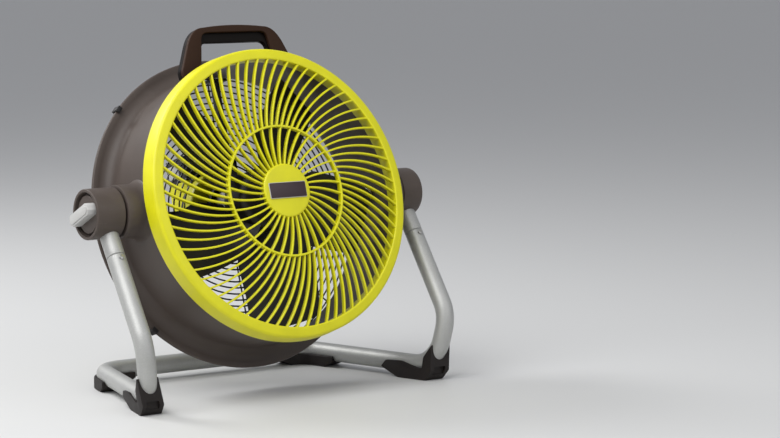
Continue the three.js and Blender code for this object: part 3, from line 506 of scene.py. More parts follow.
def bare_metal(name, slot, colour, tint, roughness, brush):
    """Brushed metal: fine lines one way, a slow change of tint, and a bloom of dull patches."""
    finish = Finish(name, slot, metallic=1.0)
    lines = finish.noise(60.0, 3.0, 0.8, finish.stretched(brush))
    cloud = finish.noise(70.0, 4.0, 0.6)
    tone = finish.mix(cloud.between(0.35, 0.7), colour, tint)
    dull = roughness + (lines - 0.5) * 0.22 + (cloud - 0.5) * 0.14
    return finish.feed(base_color=tone, roughness=dull, normal=finish.bump(lines, 0.01))


silver = silver_paint()
plated = bare_metal(
    "zinc plated steel", "plated_steel", (0.50, 0.50, 0.49), (0.52, 0.49, 0.40), 0.34, (1.0, 22.0, 22.0),
)
copper = bare_metal("copper", "copper_alloy", (0.62, 0.27, 0.12), (0.45, 0.2, 0.1), 0.32, (1.0, 1.0, 40.0))
print("metals:", silver.material.name, plated.material.name, copper.material.name)


def coated_board():
    """A green circuit board: darker tracks show through the coat where two gratings cross."""
    finish = Finish("circuit board", "circuit_board", coat_weight=0.6, coat_roughness=0.15)
    inputs = {"Vector": finish.place, "Scale": 240.0}
    tracks = finish.node("ShaderNodeTexBrick", {"offset": 0.5}, inputs, "Fac")
    cloud = finish.noise(80.0, 3.0)
    tone = finish.mix(tracks, (0.010, 0.085, 0.035), (0.022, 0.15, 0.06))
    dull = 0.35 + (cloud - 0.5) * 0.2
    return finish.feed(base_color=tone, roughness=dull, normal=finish.bump(tracks, 0.03))


board = coated_board()

# %% [markdown]
# ## The front guard
# The guard is one lime moulding, but it reads as three things: a deep bezel that hides the drum's
# lip, a field of swept ribs, and a hub disc. The ribs are the fan's face. Each one is a thin blade
# that leans round as it goes out, over a shallow dome. There are twice as many outside the middle
# ring as inside it, so the gaps stay narrow.

# %% Bezel, middle ring and hub
guard_low, guard_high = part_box("front_guard")
BEZEL_RADIUS = (guard_high.x - guard_low.x) / 2 / MM
BEZEL_FRONT, BEZEL_REAR = 59.5, 36.4
OPENING_RADIUS = 160.5
INNER_LIP = OPENING_RADIUS + 1.9
LIP_BACK = BEZEL_FRONT - 17.5
DOME_RISE = 8.6
HUB_RADIUS = 31.8
MID_RING = 77.6


def dome(radius):
    """How far ahead the guard's face stands at a radius: flat-topped at the hub and falling to the bezel."""
    share = (radius - HUB_RADIUS) / (OPENING_RADIUS - HUB_RADIUS)
    return BEZEL_FRONT + DOME_RISE * (1 - share**2)


bezel_profile = soften(
    [
        (OPENING_RADIUS, LIP_BACK), (OPENING_RADIUS, BEZEL_FRONT - 0.6), (OPENING_RADIUS + 1.4, BEZEL_FRONT),
        (BEZEL_RADIUS - 3.6, BEZEL_FRONT - 1.3), (BEZEL_RADIUS - 1.5, BEZEL_FRONT - 3.6),
        (BEZEL_RADIUS, BEZEL_REAR), (BEZEL_RADIUS - 2.2, BEZEL_REAR), (BEZEL_RADIUS - 3.6, BEZEL_FRONT - 5),
        (INNER_LIP, BEZEL_FRONT - 5), (INNER_LIP, LIP_BACK),
    ],
    [0.6, 0.6, 1.2, 2.4, 3.0, 0.7, 0.7, 1.5, 1.5, 0.6],
    5,
)
RING_HALF, RING_DEPTH = 1.2, 7.0
ring_front = dome(MID_RING) + 0.15
ring_back = ring_front - RING_DEPTH
ring_in, ring_out = MID_RING - RING_HALF, MID_RING + RING_HALF
ring_profile = soften(
    [(ring_in, ring_back), (ring_in, ring_front), (ring_out, ring_front), (ring_out, ring_back)], 0.5, 3,
)
HUB_WALL = 2.0
hub_front = dome(HUB_RADIUS) + 0.6
hub_under, hub_back = hub_front - 4.5, hub_front - 7
hub_profile = soften(
    [
        (0, hub_under), (HUB_RADIUS - HUB_WALL, hub_under), (HUB_RADIUS - HUB_WALL, hub_back),
        (HUB_RADIUS, hub_back), (HUB_RADIUS, hub_front - 1.0), (HUB_RADIUS - 1.6, hub_front), (0, hub_front),
    ],
    [0, 0.4, 0.3, 0.3, 0.8, 1.4, 0], 4,
)
piece("guard_bezel", [turned(bezel_profile, 256)], lime, "head", "front_guard")
piece("guard_middle_ring", [turned(ring_profile, 160)], lime, "head", "front_guard")
piece("guard_hub", [turned(hub_profile, 128)], lime, "head", "front_guard")
print("bezel", round(2 * BEZEL_RADIUS), "mm across, opening", round(2 * OPENING_RADIUS), "mm")

# %% [markdown]
# Every rib is the same small section carried along one swept line, so all of them are one array
# with four axes: rib, station along it, corner of the section, and coordinate. The angle falls with
# the radius at a steady rate, which draws an Archimedean spiral.

# %% Ribs
RIB_SWEEP = math.radians(0.205)
RIB_SECTION = soften([(-0.8, -6.6), (0.8, -6.6), (1.2, -0.6), (-1.2, -0.6)], [0.4, 0.4, 0.9, 0.9], 3)


def rib_shells(count, start, stop, offset, stations):
    """Ribs between two radii: angle = offset + i pitch - sweep r; ahead = dome(r) + the section's height."""
    radius = np.linspace(start, stop, stations)[None, :, None]
    base = math.radians(offset) + np.arange(count)[:, None, None] * TURN / count - RIB_SWEEP * radius
    width, height = RIB_SECTION.T[:, None, None, :]
    lean = np.arctan(RIB_SWEEP * radius)
    angle = base + width * np.cos(lean) / radius
    reach = radius + width * np.sin(lean)
    points = on_head(reach * np.cos(angle), dome(radius) + height + 0 * angle, reach * np.sin(angle))
    return [surface(rib, capped=True) for rib in points]


outer_ribs = rib_shells(72, MID_RING, OPENING_RADIUS + 1.0, 4, 16)
inner_ribs = rib_shells(36, HUB_RADIUS - 1.5, MID_RING, 0, 9)
ribs = outer_ribs + inner_ribs
piece("guard_ribs", ribs, lime, "head", "front_guard", crease=50)
print(len(ribs), "ribs")

# %% [markdown]
# The hub carries a plain dark plate in a raised frame. It is left blank.

# %% Badge
BADGE = (51.0, 19.0)
BADGE_FRAME = 0.7
badge_half = np.array([(-1, -1), (1, -1), (1, 1), (-1, 1)]) * BADGE / 2
panel_half = badge_half - np.sign(badge_half) * BADGE_FRAME
badge_back = hub_front + 0.1
plate = prism(soften(badge_half, 1.6, 5), badge_back, badge_back + 1.2, on_face)
panel = prism(soften(panel_half, 1.2, 5), badge_back + 0.9, badge_back + 1.75, on_face)
piece("badge", [plate], knob_grey, "head", "badge_plate", bevel=0.35)
piece("badge_panel", [panel], badge_brown, "head", "badge_plate", bevel=0.25)
print("badge", BADGE, "mm, blank")

# %% [markdown]
# ## The drum
# The drum is one pressed shell: a plain barrel that flares out at the back into a wide flange,
# whose edge is rolled for stiffness. A lathe would spin it from sheet, so here its wall is one
# closed profile turned once.

# %% Drum shell
BARREL_RADIUS, BARREL_WALL, BARREL_FRONT = 166.0, 2.6, 53.5
FLARE_START, FLARE_RADIUS = -42.0, 16.0
RIM_RADIUS, RIM_WIDTH, RIM_ROUND = 189.2, 3.0, 2.5
BARREL_INSIDE = BARREL_RADIUS - BARREL_WALL
FLANGE_FACE = FLARE_START - FLARE_RADIUS
FLANGE_BACK = FLANGE_FACE - BARREL_WALL
RIM_IN = RIM_RADIUS - RIM_WIDTH
flare_centre = (BARREL_RADIUS + FLARE_RADIUS, FLARE_START)
rim_centre = (RIM_RADIUS - RIM_ROUND, FLANGE_BACK + 0.2)
drum_profile = np.concatenate([
    [(BARREL_RADIUS - 0.7, BARREL_FRONT), (BARREL_RADIUS, BARREL_FRONT - 0.7)],
    arc(flare_centre, FLARE_RADIUS, 180, 270, 20),
    arc(rim_centre, RIM_ROUND, 70, -90, 12),
    [(RIM_IN, rim_centre[1] - RIM_ROUND), (RIM_IN, FLANGE_BACK)],
    arc(flare_centre, FLARE_RADIUS + BARREL_WALL, 270, 180, 20),
    [(BARREL_INSIDE, BARREL_FRONT)],
])
piece("drum", [turned(drum_profile, 256)], graphite, "head", "drum_shell", crease=40)
print("drum", round(2 * BARREL_RADIUS), "mm across, flange", round(2 * RIM_RADIUS), "mm")

# %% [markdown]
# A low bead runs round the barrel behind the bezel. It hides the joint between the two and catches
# a line of light.

# %% Bead behind the bezel
BEAD_RADIUS, BEAD_PLACE, BEAD_FOOT = 1.5, 33.6, 1.8
bead_root = BARREL_RADIUS - 0.5
bead_profile = np.concatenate([
    arc((BARREL_RADIUS - 0.4, BEAD_PLACE), BEAD_RADIUS, -65, 65, 8),
    [(bead_root, BEAD_PLACE + BEAD_FOOT), (bead_root, BEAD_PLACE - BEAD_FOOT)],
])
piece("drum_bead", [turned(bead_profile, 256)], graphite, "head")

# %% [markdown]
# ## The rear guard
# The back is closed by welded wire: sixteen rings on eight spokes, dished so that it stays stiff.
# Each wire is a true round section. The rings are circles carried round the axis, and a spoke is a
# straight rod.

# %% Rear guard
WIRE, WIRE_PITCH, WIRE_RINGS, FIRST_WIRE = 2.0, 7.5, 16, 61.6
SPOKE_END, SPOKES, GUARD_DISH = 184.6, 8, 4.0
wire_plane = FLANGE_BACK - 0.4 - WIRE / 2


def dish(radius):
    """How far ahead the spokes lie at a radius: they fall back towards the middle."""
    return wire_plane - GUARD_DISH * (SPOKE_END - radius) / (SPOKE_END - FIRST_WIRE)


def wire_ring(radius):
    """A ring of round wire: the circle (radius + w cos t, ahead + w sin t) carried round the axis."""
    return turned(arc((radius, dish(radius) + 0.7 * WIRE), WIRE / 2, 0, 315, 7), 144)


def spoke(index):
    """A straight wire outwards from the first ring to under the clips."""
    radius = np.linspace(FIRST_WIRE - 1, SPOKE_END, 6)
    angle = TURN * (index / SPOKES + 0.25)
    return swept(on_head(radius * math.cos(angle), dish(radius), radius * math.sin(angle)), WIRE / 2, 10)


wires = [wire_ring(FIRST_WIRE + WIRE_PITCH * i) for i in range(WIRE_RINGS)]
wires += [spoke(i) for i in range(SPOKES)]
piece("rear_wires", wires, wire_black, "head", "rear_guard")
for number in (1, 2, 3, 4):
    from_cad(f"rim_clip_{number}", black, "head", 0.5)
print(WIRE_RINGS, "rings and", SPOKES, "spokes")

# %% [markdown]
# ## Pivots
# On each side a boss grows out of the barrel. Where it meets the round wall it flares into a
# fillet, so its inner edge has to lie on a cylinder. The grid's inmost ring is put exactly there:
# out = sqrt(R^2 - up^2), and the rings between blend from that saddle to the flat end of the boss.

# %% Pivot bosses
BOSS_RADIUS, BOSS_FLARE, BOSS_OUT = 31.5, 36.5, 193.0
BOSS_SHOULDER = 179.0


def boss(side, steps=144, rings=14):
    """A stub that flares onto the barrel: the flare falls as (1 - t)^3 and out climbs evenly with t."""
    angle = np.linspace(0, TURN, steps, endpoint=False)[None, :]
    t = np.linspace(0, 1, rings)[:, None]
    radius = BOSS_RADIUS + (BOSS_FLARE - BOSS_RADIUS) * (1 - t) ** 3 + 0 * angle
    saddle = np.sqrt(BARREL_RADIUS**2 - (BOSS_FLARE * np.sin(angle)) ** 2) - 0.4
    out = saddle + (BOSS_SHOULDER - saddle) * t
    radii = BOSS_RADIUS - np.array([0, 0, 0.25, 0.9, 4.0, 4.3, 23.5, 26.8])[:, None]
    outs = BOSS_OUT + np.array([-7, -0.1, 0.6, 0.9, 0.9, 0, 0, 0])[:, None]
    radius = np.concatenate([radius, radii + 0 * angle])
    out = np.concatenate([out, outs + 0 * angle])
    return surface(on_head(side * out, radius * np.cos(angle), radius * np.sin(angle)))


SIDES = {"left": -1, "right": 1}
for name, side in SIDES.items():
    piece(f"boss_{name}", [boss(side)], graphite, "head", f"pivot_boss_{name}")
    from_cad(f"pivot_bolt_{name}", plated, "head", 0.3)
    from_cad(f"friction_washer_{name}", black, "stand", 0.2)
from_cad("pivot_nut_right", plated, "head", 0.4)
print("boss", 2 * BOSS_RADIUS, "mm across")

# %% [markdown]
# The housings stand on the tube and hold the bolt. The left one is open like a cup, and the tilt
# knob sits in it. The right one is closed and softly rounded. Both are turned shapes with a
# generous edge.

# %% Housings
WASHER_END = 194.6
HOUSING_IN = WASHER_END + 0.4
HOUSING_RADIUS, HOUSING_STEP = 29.4, 2.4
RECESS_RADIUS, RECESS_DEPTH = 25.0, 8.0
HOUSING_OUT = {"left": 233.0, "right": 227.0}
RECESS_FLOOR = HOUSING_OUT["left"] - RECESS_DEPTH
BOLT_BORE = 4.7


def housing_profile(side):
    """Half the section of a housing, from the bore at its inner end round to the bore at its outer end."""
    out = HOUSING_OUT["left" if side < 0 else "right"]
    neck, step = HOUSING_RADIUS - HOUSING_STEP, HOUSING_IN + 1.6
    inner = [(BOLT_BORE, HOUSING_IN), (neck, HOUSING_IN), (neck, step), (HOUSING_RADIUS, step)]
    if side > 0:
        closed_end = [(HOUSING_RADIUS, out), (0.0, out), (0.0, HOUSING_IN)]
        return soften(inner + closed_end, [0, 0.6, 0.5, 0.8, 7.5, 0, 0], 8)
    rim = [(HOUSING_RADIUS, out), (RECESS_RADIUS + 0.6, out)]
    recess = [(RECESS_RADIUS, RECESS_FLOOR), (BOLT_BORE, RECESS_FLOOR)]
    return soften(inner + rim + recess, [0, 0.6, 0.5, 0.8, 2.2, 1.0, 1.0, 0], 6)


for name, side in SIDES.items():
    turned_housing = turned_out(housing_profile(side), side, 160)
    piece(f"housing_{name}", [turned_housing], graphite, "stand", f"pivot_housing_{name}", crease=40)
print("housings end", HOUSING_OUT, "mm out")

# %% [markdown]
# The knob is a disc with a straight lever across it. The lever's ends are cut back at the corners
# and a raised plate lies on its face. Both are outlines thickened along the pivot axis, with their
# edges rounded.

# %% Tilt knob
KNOB = {"disc": 22.0, "thick": 5.0, "long": 46.0, "wide": 14.0, "out": 243.0, "turn": math.radians(27)}
knob_floor = RECESS_FLOOR + 0.4
knob_top = knob_floor + KNOB["thick"]


def lever_outline(trim=0.0, nick=4.0):
    """A long rectangle with its corners cut off, drawn about the knob's middle."""
    x, y = KNOB["long"] / 2 - trim, KNOB["wide"] / 2 - trim
    quarter = [(x, y - nick), (x - nick, y)]
    return np.array(quarter + [(-a, b) for a, b in quarter[::-1]] + [(-a, -b) for a, b in quarter]
                    + [(a, -b) for a, b in quarter[::-1]])


def on_knob(a, b, level):
    """Along the lever, across it, and out from the left pivot. The lever climbs towards the front."""
    y = -a * math.cos(KNOB["turn"]) + b * math.sin(KNOB["turn"])
    z = a * math.sin(KNOB["turn"]) + b * math.cos(KNOB["turn"])
    return on_stand(-level, y, PIVOT_HEIGHT + z)


disc = KNOB["disc"]
disc_profile = soften(
    [(BOLT_BORE, knob_floor), (disc, knob_floor), (disc, knob_top), (BOLT_BORE, knob_top)],
    [0, 0.5, 1.2, 0], 5,
)
lever = prism(lever_outline(), knob_top - 1, KNOB["out"] - 1.2, on_knob)
lever_face = prism(lever_outline(2.2, 3.2), KNOB["out"] - 2, KNOB["out"], on_knob)
piece("knob_disc", [turned_out(disc_profile, -1, 128)], graphite, "lock_knob", "tilt_knob")
piece("knob_lever", [lever], knob_grey, "lock_knob", "tilt_knob", bevel=0.45)
piece("knob_face", [lever_face], knob_grey, "lock_knob", "tilt_knob", bevel=0.35)
print("knob lever", KNOB["long"], "by", KNOB["wide"], "mm")

# %% [markdown]
# ## The handle
# The handle is a closed loop in two shells: a flat dark brown front one, and a rear one that the fingers
# meet. The rear shell's near-black colour is painted shade, standing for the shadow on the handle's side. A
# loop is a torus whose section changes as it goes round, so both shells are one kind of grid. An outer line
# and an inner line are drawn with matching points, and the section between them keeps the same round edges
# everywhere.

# %% Handle lines
HANDLE_TOP, HANDLE_FOOT, HANDLE_SHOULDER = 215.0, 81.5, 68.0
HANDLE_CROWN, HANDLE_INSIDE = 43.0, 44.5
HANDLE_FRONT, HANDLE_DEPTH, HANDLE_FACE = 13.0, 14.0, 5.0
HANDLE_BAND, HANDLE_GRIP = 9.0, 20.0
ROUND_STEPS = 6
SADDLE = BARREL_RADIUS + 0.45


def curve(start, pull, end, steps=14):
    """A quadratic curve: (1-t)^2 start + 2t(1-t) pull + t^2 end, without its last point."""
    t = np.linspace(0, 1, steps, endpoint=False)[:, None]
    start, pull, end = np.array(start), np.array(pull), np.array(end)
    return (1 - t) ** 2 * start + 2 * t * (1 - t) * pull + t**2 * end


def line(start, end, steps=14):
    t = np.linspace(0, 1, steps, endpoint=False)[:, None]
    return np.array(start) + t * (np.array(end) - np.array(start))


foot_angle = math.asin((HANDLE_FOOT - 3.6) / SADDLE)
sweep = np.linspace(0, foot_angle, 20)
shoulder, foot_out = HANDLE_TOP - 25, HANDLE_INSIDE + 8.6
crown = (HANDLE_CROWN, HANDLE_TOP - 2.6)
outer_half = np.concatenate([
    SADDLE * np.stack([np.sin(sweep), np.cos(sweep)], -1),
    curve((HANDLE_FOOT - 2.6, 151), (HANDLE_FOOT, 157), (HANDLE_FOOT - 1.6, 162)),
    line((HANDLE_FOOT - 1.6, 162), (HANDLE_SHOULDER, shoulder)),
    curve((HANDLE_SHOULDER, shoulder), (HANDLE_SHOULDER - 9, HANDLE_TOP - 3), crown),
    curve(crown, (HANDLE_CROWN / 2, HANDLE_TOP), (0, HANDLE_TOP), 15),
])
mirror = np.array([-1.0, 1.0])
outer_line = np.concatenate([outer_half, [(0, HANDLE_TOP)], outer_half[:0:-1] * mirror])


def opening_line(band):
    """The line round the fingers' opening: over the strap, up inside a leg and along under the band."""
    top = HANDLE_TOP - band
    half = np.concatenate([
        curve((0, 171), (25, 171), (foot_out - 1, 160.4), 20),
        curve((foot_out - 1, 160.4), (foot_out + 0.8, 159.6), (foot_out, 162.5)),
        line((foot_out, 162.5), (HANDLE_INSIDE + 2, top - 7)),
        curve((HANDLE_INSIDE + 2, top - 7), (HANDLE_INSIDE, top), (HANDLE_INSIDE - 8, top)),
        line((HANDLE_INSIDE - 8, top), (0, top), 15),
    ])
    return np.concatenate([half, [(0, top)], half[:0:-1] * mirror])


def handle_shell(band, rear, front, round_rear, round_front):
    """A section with round corners carried round the loop. Its points are measured from the nearer line."""
    inner_line = opening_line(band)
    across = outer_line - inner_line
    across = across / np.linalg.norm(across, axis=1, keepdims=True)
    quarter = np.radians(np.linspace(0, 90, ROUND_STEPS))
    corners = [(1, round_front, front, 1), (0, round_front, front, 1)]
    corners += [(0, round_rear, rear, -1), (1, round_rear, rear, -1)]
    depth, level, from_outer = [], [], []
    for outer_side, radius, edge, sign in corners:
        bend = quarter if (outer_side == 1) == (sign == 1) else quarter[::-1]
        depth.append(radius * (1 - np.cos(bend)))
        level.append(edge - sign * radius * (1 - np.sin(bend)))
        from_outer.append(np.full(ROUND_STEPS, outer_side))
    depth, level, from_outer = (np.concatenate(part)[None, :, None] for part in (depth, level, from_outer))
    start = np.where(from_outer == 1, outer_line[:, None], inner_line[:, None])
    place = start + np.where(from_outer == 1, -1, 1) * depth * across[:, None]
    points = on_head(place[..., 0], level[..., 0] + 0 * place[..., 0], place[..., 1])
    return surface(points, wrap_rows=True)


split = HANDLE_FRONT - HANDLE_FACE
front_shell = handle_shell(HANDLE_BAND, split + 0.25, HANDLE_FRONT, 0.4, 1.6)
rear_shell = handle_shell(HANDLE_GRIP, HANDLE_FRONT - HANDLE_DEPTH, split - 0.25, 2.6, 0.5)
piece("handle_front", [front_shell], handle_brown, "head", "handle_front_shell", crease=40)
# The rear shell is near-black as painted shade for the shadow on the handle's side.
piece("handle_rear", [rear_shell], handle_side_shade_black, "head", "handle_rear_shell", crease=40)
for name in SIDES:
    from_cad(f"handle_screw_{name}", plated, "head", 0.3)
print("handle", 2 * HANDLE_FOOT, "mm wide")

# %% [markdown]
# ## The fan
# A blade is a thin sheet bent round the hub. Across its width it climbs and bows, and outwards it
# sweeps a little and loses pitch. Its two faces are the same grid pushed apart by an aerofoil's
# thickness, thin at both edges.

# %% Blades and hub
BLADES, BLADE_TIP, BLADE_CHORD, BLADE_MIDDLE = 5, 152.0, 86.0, 5.0
BLADE_PHASE, BLADE_SWEEP, BLADE_THICK = -80.0, 6.0, 2.6
BLADE_ROOT_RISE, BLADE_TIP_RISE, BLADE_CAMBER = 46, 33, 5
BLADE_WIDEST = math.radians(66)
HUB = {"radius": 38.0, "front": 28.0, "rear": -12.0}


def blade(index, stations=30, width=36):
    """A closed sheet: out in [0, 1] along it, and a loop round its section, there and back over the chord."""
    out = np.linspace(0, 1, stations)[:, None]
    loop = np.linspace(0, TURN, 2 * width, endpoint=False)[None, :]
    across = -0.5 * np.cos(loop) + 0 * out
    thick = 0.5 * BLADE_THICK * np.sin(loop) * (1.25 - 0.35 * out)
    radius = (HUB["radius"] - 1.5) * (1 - out) + BLADE_TIP * out + 0 * loop
    corner = np.sqrt(np.clip(1 - np.clip((out - 0.9) / 0.105, 0, 1) ** 2, 0, 1))
    half = np.minimum(BLADE_CHORD / radius, BLADE_WIDEST) * (1 - 0.12 * out**2) * (0.86 + 0.14 * corner)
    centre = np.radians(BLADE_PHASE - BLADE_SWEEP * out + 360 / BLADES * index)
    rise = BLADE_ROOT_RISE * (1 - out) + BLADE_TIP_RISE * out
    camber = BLADE_CAMBER * (1 - 4 * across**2)
    ahead = BLADE_MIDDLE - camber + across * rise + thick
    angle = centre + across * half
    return surface(on_head(radius * np.cos(angle), ahead, radius * np.sin(angle)), capped=True)


hub_rim, hub_face, hub_edge = HUB["radius"], HUB["front"], HUB["rear"]
hub_cup = soften(
    [
        (4.4, hub_edge + 4), (9.4, hub_edge + 4), (9.4, hub_face - 6), (35, hub_face - 10), (35, hub_edge),
        (hub_rim, hub_edge), (hub_rim, hub_face - 5), (32, hub_face - 1.0), (12, hub_face - 1.4),
        (11, hub_face), (4.4, hub_face),
    ],
    [0, 0.5, 1, 3, 0.5, 0.8, 4, 3, 0.6, 0.6, 0], 5,
)
piece("fan_hub", [turned(hub_cup, 128)], black, "rotor", "fan_blade", crease=40)
piece("fan_blades", [blade(i) for i in range(BLADES)], black, "rotor", "fan_blade", crease=60)
from_cad("blade_nut", plated, "rotor", 0.5)
from_cad("motor_shaft", plated, "rotor", 0.3)
from_cad("motor_rotor", wire_black, "rotor", 0.4)
print(BLADES, "blades to", BLADE_TIP, "mm")

# %% [markdown]
# ## Motor and pod
# The motor sits behind the hub on four arms, and a lime pod behind it carries the board and the
# battery dock. These pieces are simple turned and cut shapes already, so they keep their CAD form
# with rounded edges.

# %% Motor, pod and dock
for node, finish, edge in (
    ("motor_can", plated, 0.8), ("motor_end_plate", plated, 0.4), ("motor_stator", copper, 0.8),
    ("bearing_front", plated, 0.3), ("bearing_rear", plated, 0.3), ("motor_bracket", black, 1.0),
    ("control_board", board, 0.2), ("battery_dock", black, 0.7), ("dock_terminals", copper, 0.2),
):
    from_cad(node, finish, "head", edge)
POD = {"radius": 55.0, "front": -59.4, "rear": -80.0}
POD_WALL = 2.5
pod_rim, pod_face, pod_edge = POD["radius"], POD["front"], POD["rear"]
pod_profile = soften(
    [
        (6, pod_face), (pod_rim, pod_face), (pod_rim, pod_edge), (pod_rim - POD_WALL, pod_edge),
        (pod_rim - POD_WALL, pod_face - 3.5), (6, pod_face - POD_WALL),
    ],
    [0, 6.5, 0.6, 0.5, 4, 0], 8,
)
piece("pod", [turned(pod_profile, 144)], lime, "head", "pod_housing", crease=40)
print("pod", 2 * POD["radius"], "mm across")

# %% [markdown]
# The speed dial is a small knurled cap. Its outline is a circle with a gentle wave, and an upright
# mark is moulded on its face.

# %% Speed dial
DIAL = {"radius": 9.2, "height": -44.5, "waves": 18}
DOCK_BACK = POD["rear"] - 0.4 - 6


def dial_shells():
    """Rings of radius r (1 + w cos 18 a), from the stem's end out to the face and in to its middle."""
    angle = np.linspace(0, TURN, 288, endpoint=False)[None, :]
    radius = np.array([0.01, 4, 4, 8.6, 9.2, 9.2, 8.8, 8.1, 7.6, 7.3, 0.01])[:, None]
    wave = np.array([0, 0, 0, 0.02, 0.035, 0.035, 0.03, 0.01, 0, 0, 0])[:, None]
    back = np.array([-5.4, -5.4, 0.4, 0.4, 1.0, 7.4, 8.5, 9.2, 9.2, 8.9, 8.9])[:, None]
    reach = radius * (1 - wave + wave * np.cos(DIAL["waves"] * angle))
    up = DIAL["height"] + reach * np.sin(angle)
    return [surface(on_head(reach * np.cos(angle), DOCK_BACK - back + 0 * angle, up))]


piece("dial_cap", dial_shells(), knob_grey, "dial", "speed_dial", crease=40)
mark = soften([(-0.7, 1.5), (0.7, 1.5), (0.7, 6.6), (-0.7, 6.6)], 0.4, 3) + [0, DIAL["height"]]
mark_shell = prism(mark, DOCK_BACK - 9.35, DOCK_BACK - 8.6, on_face)
piece("dial_mark", [mark_shell], wire_black, "dial")
print("dial", 2 * DIAL["radius"], "mm across")

# %% [markdown]
# ## The battery
# The pack slides onto the dock's rail from above. It is a lime block under a black cap, with ribs
# to grip on its back and a latch button on each side. A boxy moulding is a rounded outline
# thickened upwards.

# %% Battery pack and cap
BATTERY = {"wide": 76.0, "low": -33.0, "high": 79.0, "deep": 47.0, "cap": 30.0}
BATTERY_BACK = DOCK_BACK - 0.7 - BATTERY["deep"]
GRIP_HALF, GRIP_HALF_THICK = 24, 1.3
battery_split = BATTERY["high"] - BATTERY["cap"]
from_cad("battery_pack", lime, "battery", 1.6)
from_cad("battery_cap", black, "battery", 1.6)
for name in SIDES:
    from_cad(f"battery_latch_{name}", knob_grey, f"latch_{name}", 0.7)
grips = []
for height in np.linspace(battery_split + 6, BATTERY["high"] - 7, 4):
    low, high = height - GRIP_HALF_THICK, height + GRIP_HALF_THICK
    outline = [(-GRIP_HALF, low), (GRIP_HALF, low), (GRIP_HALF, high), (-GRIP_HALF, high)]
    grips.append(prism(soften(outline, 1.2, 4), BATTERY_BACK - 0.05, BATTERY_BACK + 1.5, on_face))
piece("battery_grips", grips, wire_black, "battery", bevel=0.3)
print("battery", BATTERY["wide"], "by", BATTERY["high"] - BATTERY["low"], "by", BATTERY["deep"], "mm")

# %% [markdown]
# ## The stand
# One steel tube makes the whole stand. It comes down each side, turns back along the floor and
# crosses behind. A bend is an arc between two straights, so the path is worked out the way a tube
# bender is set: corner points and a radius for each. The tube is then a circle carried along that
# path.

# %% Tube path
TUBE_RADIUS = 11.0
LEG_TOP, KNEE = np.array([209.5, 3.5, PIVOT_HEIGHT]), np.array([212.5, -94.5, 80.0])
FRONT_CORNER, REAR_CORNER = np.array([202.5, -86.0, 17.0]), np.array([147.0, 119.0, 17.0])
BENDS = {"knee": 45.0, "front": 40.0, "rear": 35.0}
STUB_START, STUB_END = 14.0, 57.5


def bent_line(corners, radii, steps=24, spacing=6.0):
    """Straights joined by arcs. Each arc is tangent to both, and starts radius tan(angle / 2) before it."""
    corners = np.asarray(corners, float)
    stops = [corners[0][None]]
    for before, corner, after, radius in zip(corners[:-2], corners[1:-1], corners[2:], radii):
        into, out = corner - before, after - corner
        into, out = into / np.linalg.norm(into), out / np.linalg.norm(out)
        angle = math.acos(np.clip(into.dot(out), -1, 1))
        inward = out - into * out.dot(into)
        inward /= np.linalg.norm(inward)
        turn = np.linspace(0, angle, steps + 1)[:, None]
        start = corner - into * radius * math.tan(angle / 2)
        stops.append(start + into * radius * np.sin(turn) + inward * radius * (1 - np.cos(turn)))
    stops.append(corners[-1][None])
    path = [stops[0]]
    for last, following in zip(stops[:-1], stops[1:]):
        gap = np.linalg.norm(following[0] - last[-1])
        share = np.linspace(0, 1, max(2, int(gap / spacing)), endpoint=False)[1:, None]
        path += [last[-1] * (1 - share) + following[0] * share, following]
    return np.concatenate(path)


leg_direction = (KNEE - LEG_TOP) / np.linalg.norm(KNEE - LEG_TOP)
flip = np.array([-1.0, 1.0, 1.0])


def down_leg(side, distance):
    """The point on a leg's middle line at a distance below the pivot."""
    return (LEG_TOP + leg_direction * distance) * (flip if side < 0 else 1)


half = [down_leg(1, STUB_END + 0.4), KNEE, FRONT_CORNER, REAR_CORNER]
whole = [point * flip for point in half] + half[::-1]
bends = [BENDS["knee"], BENDS["front"], BENDS["rear"]]
tube_path = bent_line(whole, bends + bends[::-1])
print("tube", round(float(np.linalg.norm(np.diff(tube_path, axis=0), axis=1).sum())), "mm long")

# %% Tube, stubs and screws
def rounded_ends(path, radius, edge=0.8):
    """The path with three stations at each end and radii that round the rim over, as a deburred cut has."""
    bend = np.radians([0.0, 35.0, 70.0])
    inset, drop = edge * (1 - np.sin(bend)), edge * (1 - np.cos(bend))
    first, last = path[1] - path[0], path[-1] - path[-2]
    first, last = first / np.linalg.norm(first), last / np.linalg.norm(last)
    head_end = path[0] + first * inset[::-1, None]
    tail_end = path[-1] - last * inset[:, None]
    radii = radius - np.concatenate([drop[::-1], np.zeros(len(path) - 2), drop])
    return np.concatenate([head_end, path[1:-1], tail_end]), radii


def tube_along(path, radius, sides=48):
    """A tube with deburred ends along a path of stand coordinates."""
    stations, radii = rounded_ends(np.asarray(path), radius)
    return swept(on_stand(*stations.T), radii, sides)


piece("stand_tube", [tube_along(tube_path, TUBE_RADIUS)], silver, "stand", "leg_frame", crease=60)
for name, side in SIDES.items():
    stops = np.array([down_leg(side, distance) for distance in np.linspace(STUB_START, STUB_END, 12)])
    piece(f"stub_{name}", [tube_along(stops, TUBE_RADIUS)], silver, "stand", f"leg_stub_{name}", crease=60)
    from_cad(f"leg_screw_{name}", plated, "stand", 0.35)
print("stand made")

# %% [markdown]
# ## Boots and pads
# Rubber boots close over the front bends, and pads sit under the rear corners. A boot is its side
# outline thickened across the tube, leaned with the leg and turned along the rail. The tube's own
# path cuts its bed, so the two always fit. Cutting one closed mesh from another is a Boolean,
# applied at once.

# %% Boots
BOOT_WIDTH, BOOT_FACE = 28.0, 8.5
THROAT_RADIUS, THROAT_HEIGHT = 10.8, 46.0
WINDOW_DEPTH, TOOL_START, BED_GAP = 5.0, -4.0, 0.25
rail = REAR_CORNER - FRONT_CORNER
RAIL_SLOPE = -rail[0] / rail[1]
LEG_LEAN = (KNEE[0] - FRONT_CORNER[0]) / (KNEE[2] - FRONT_CORNER[2])


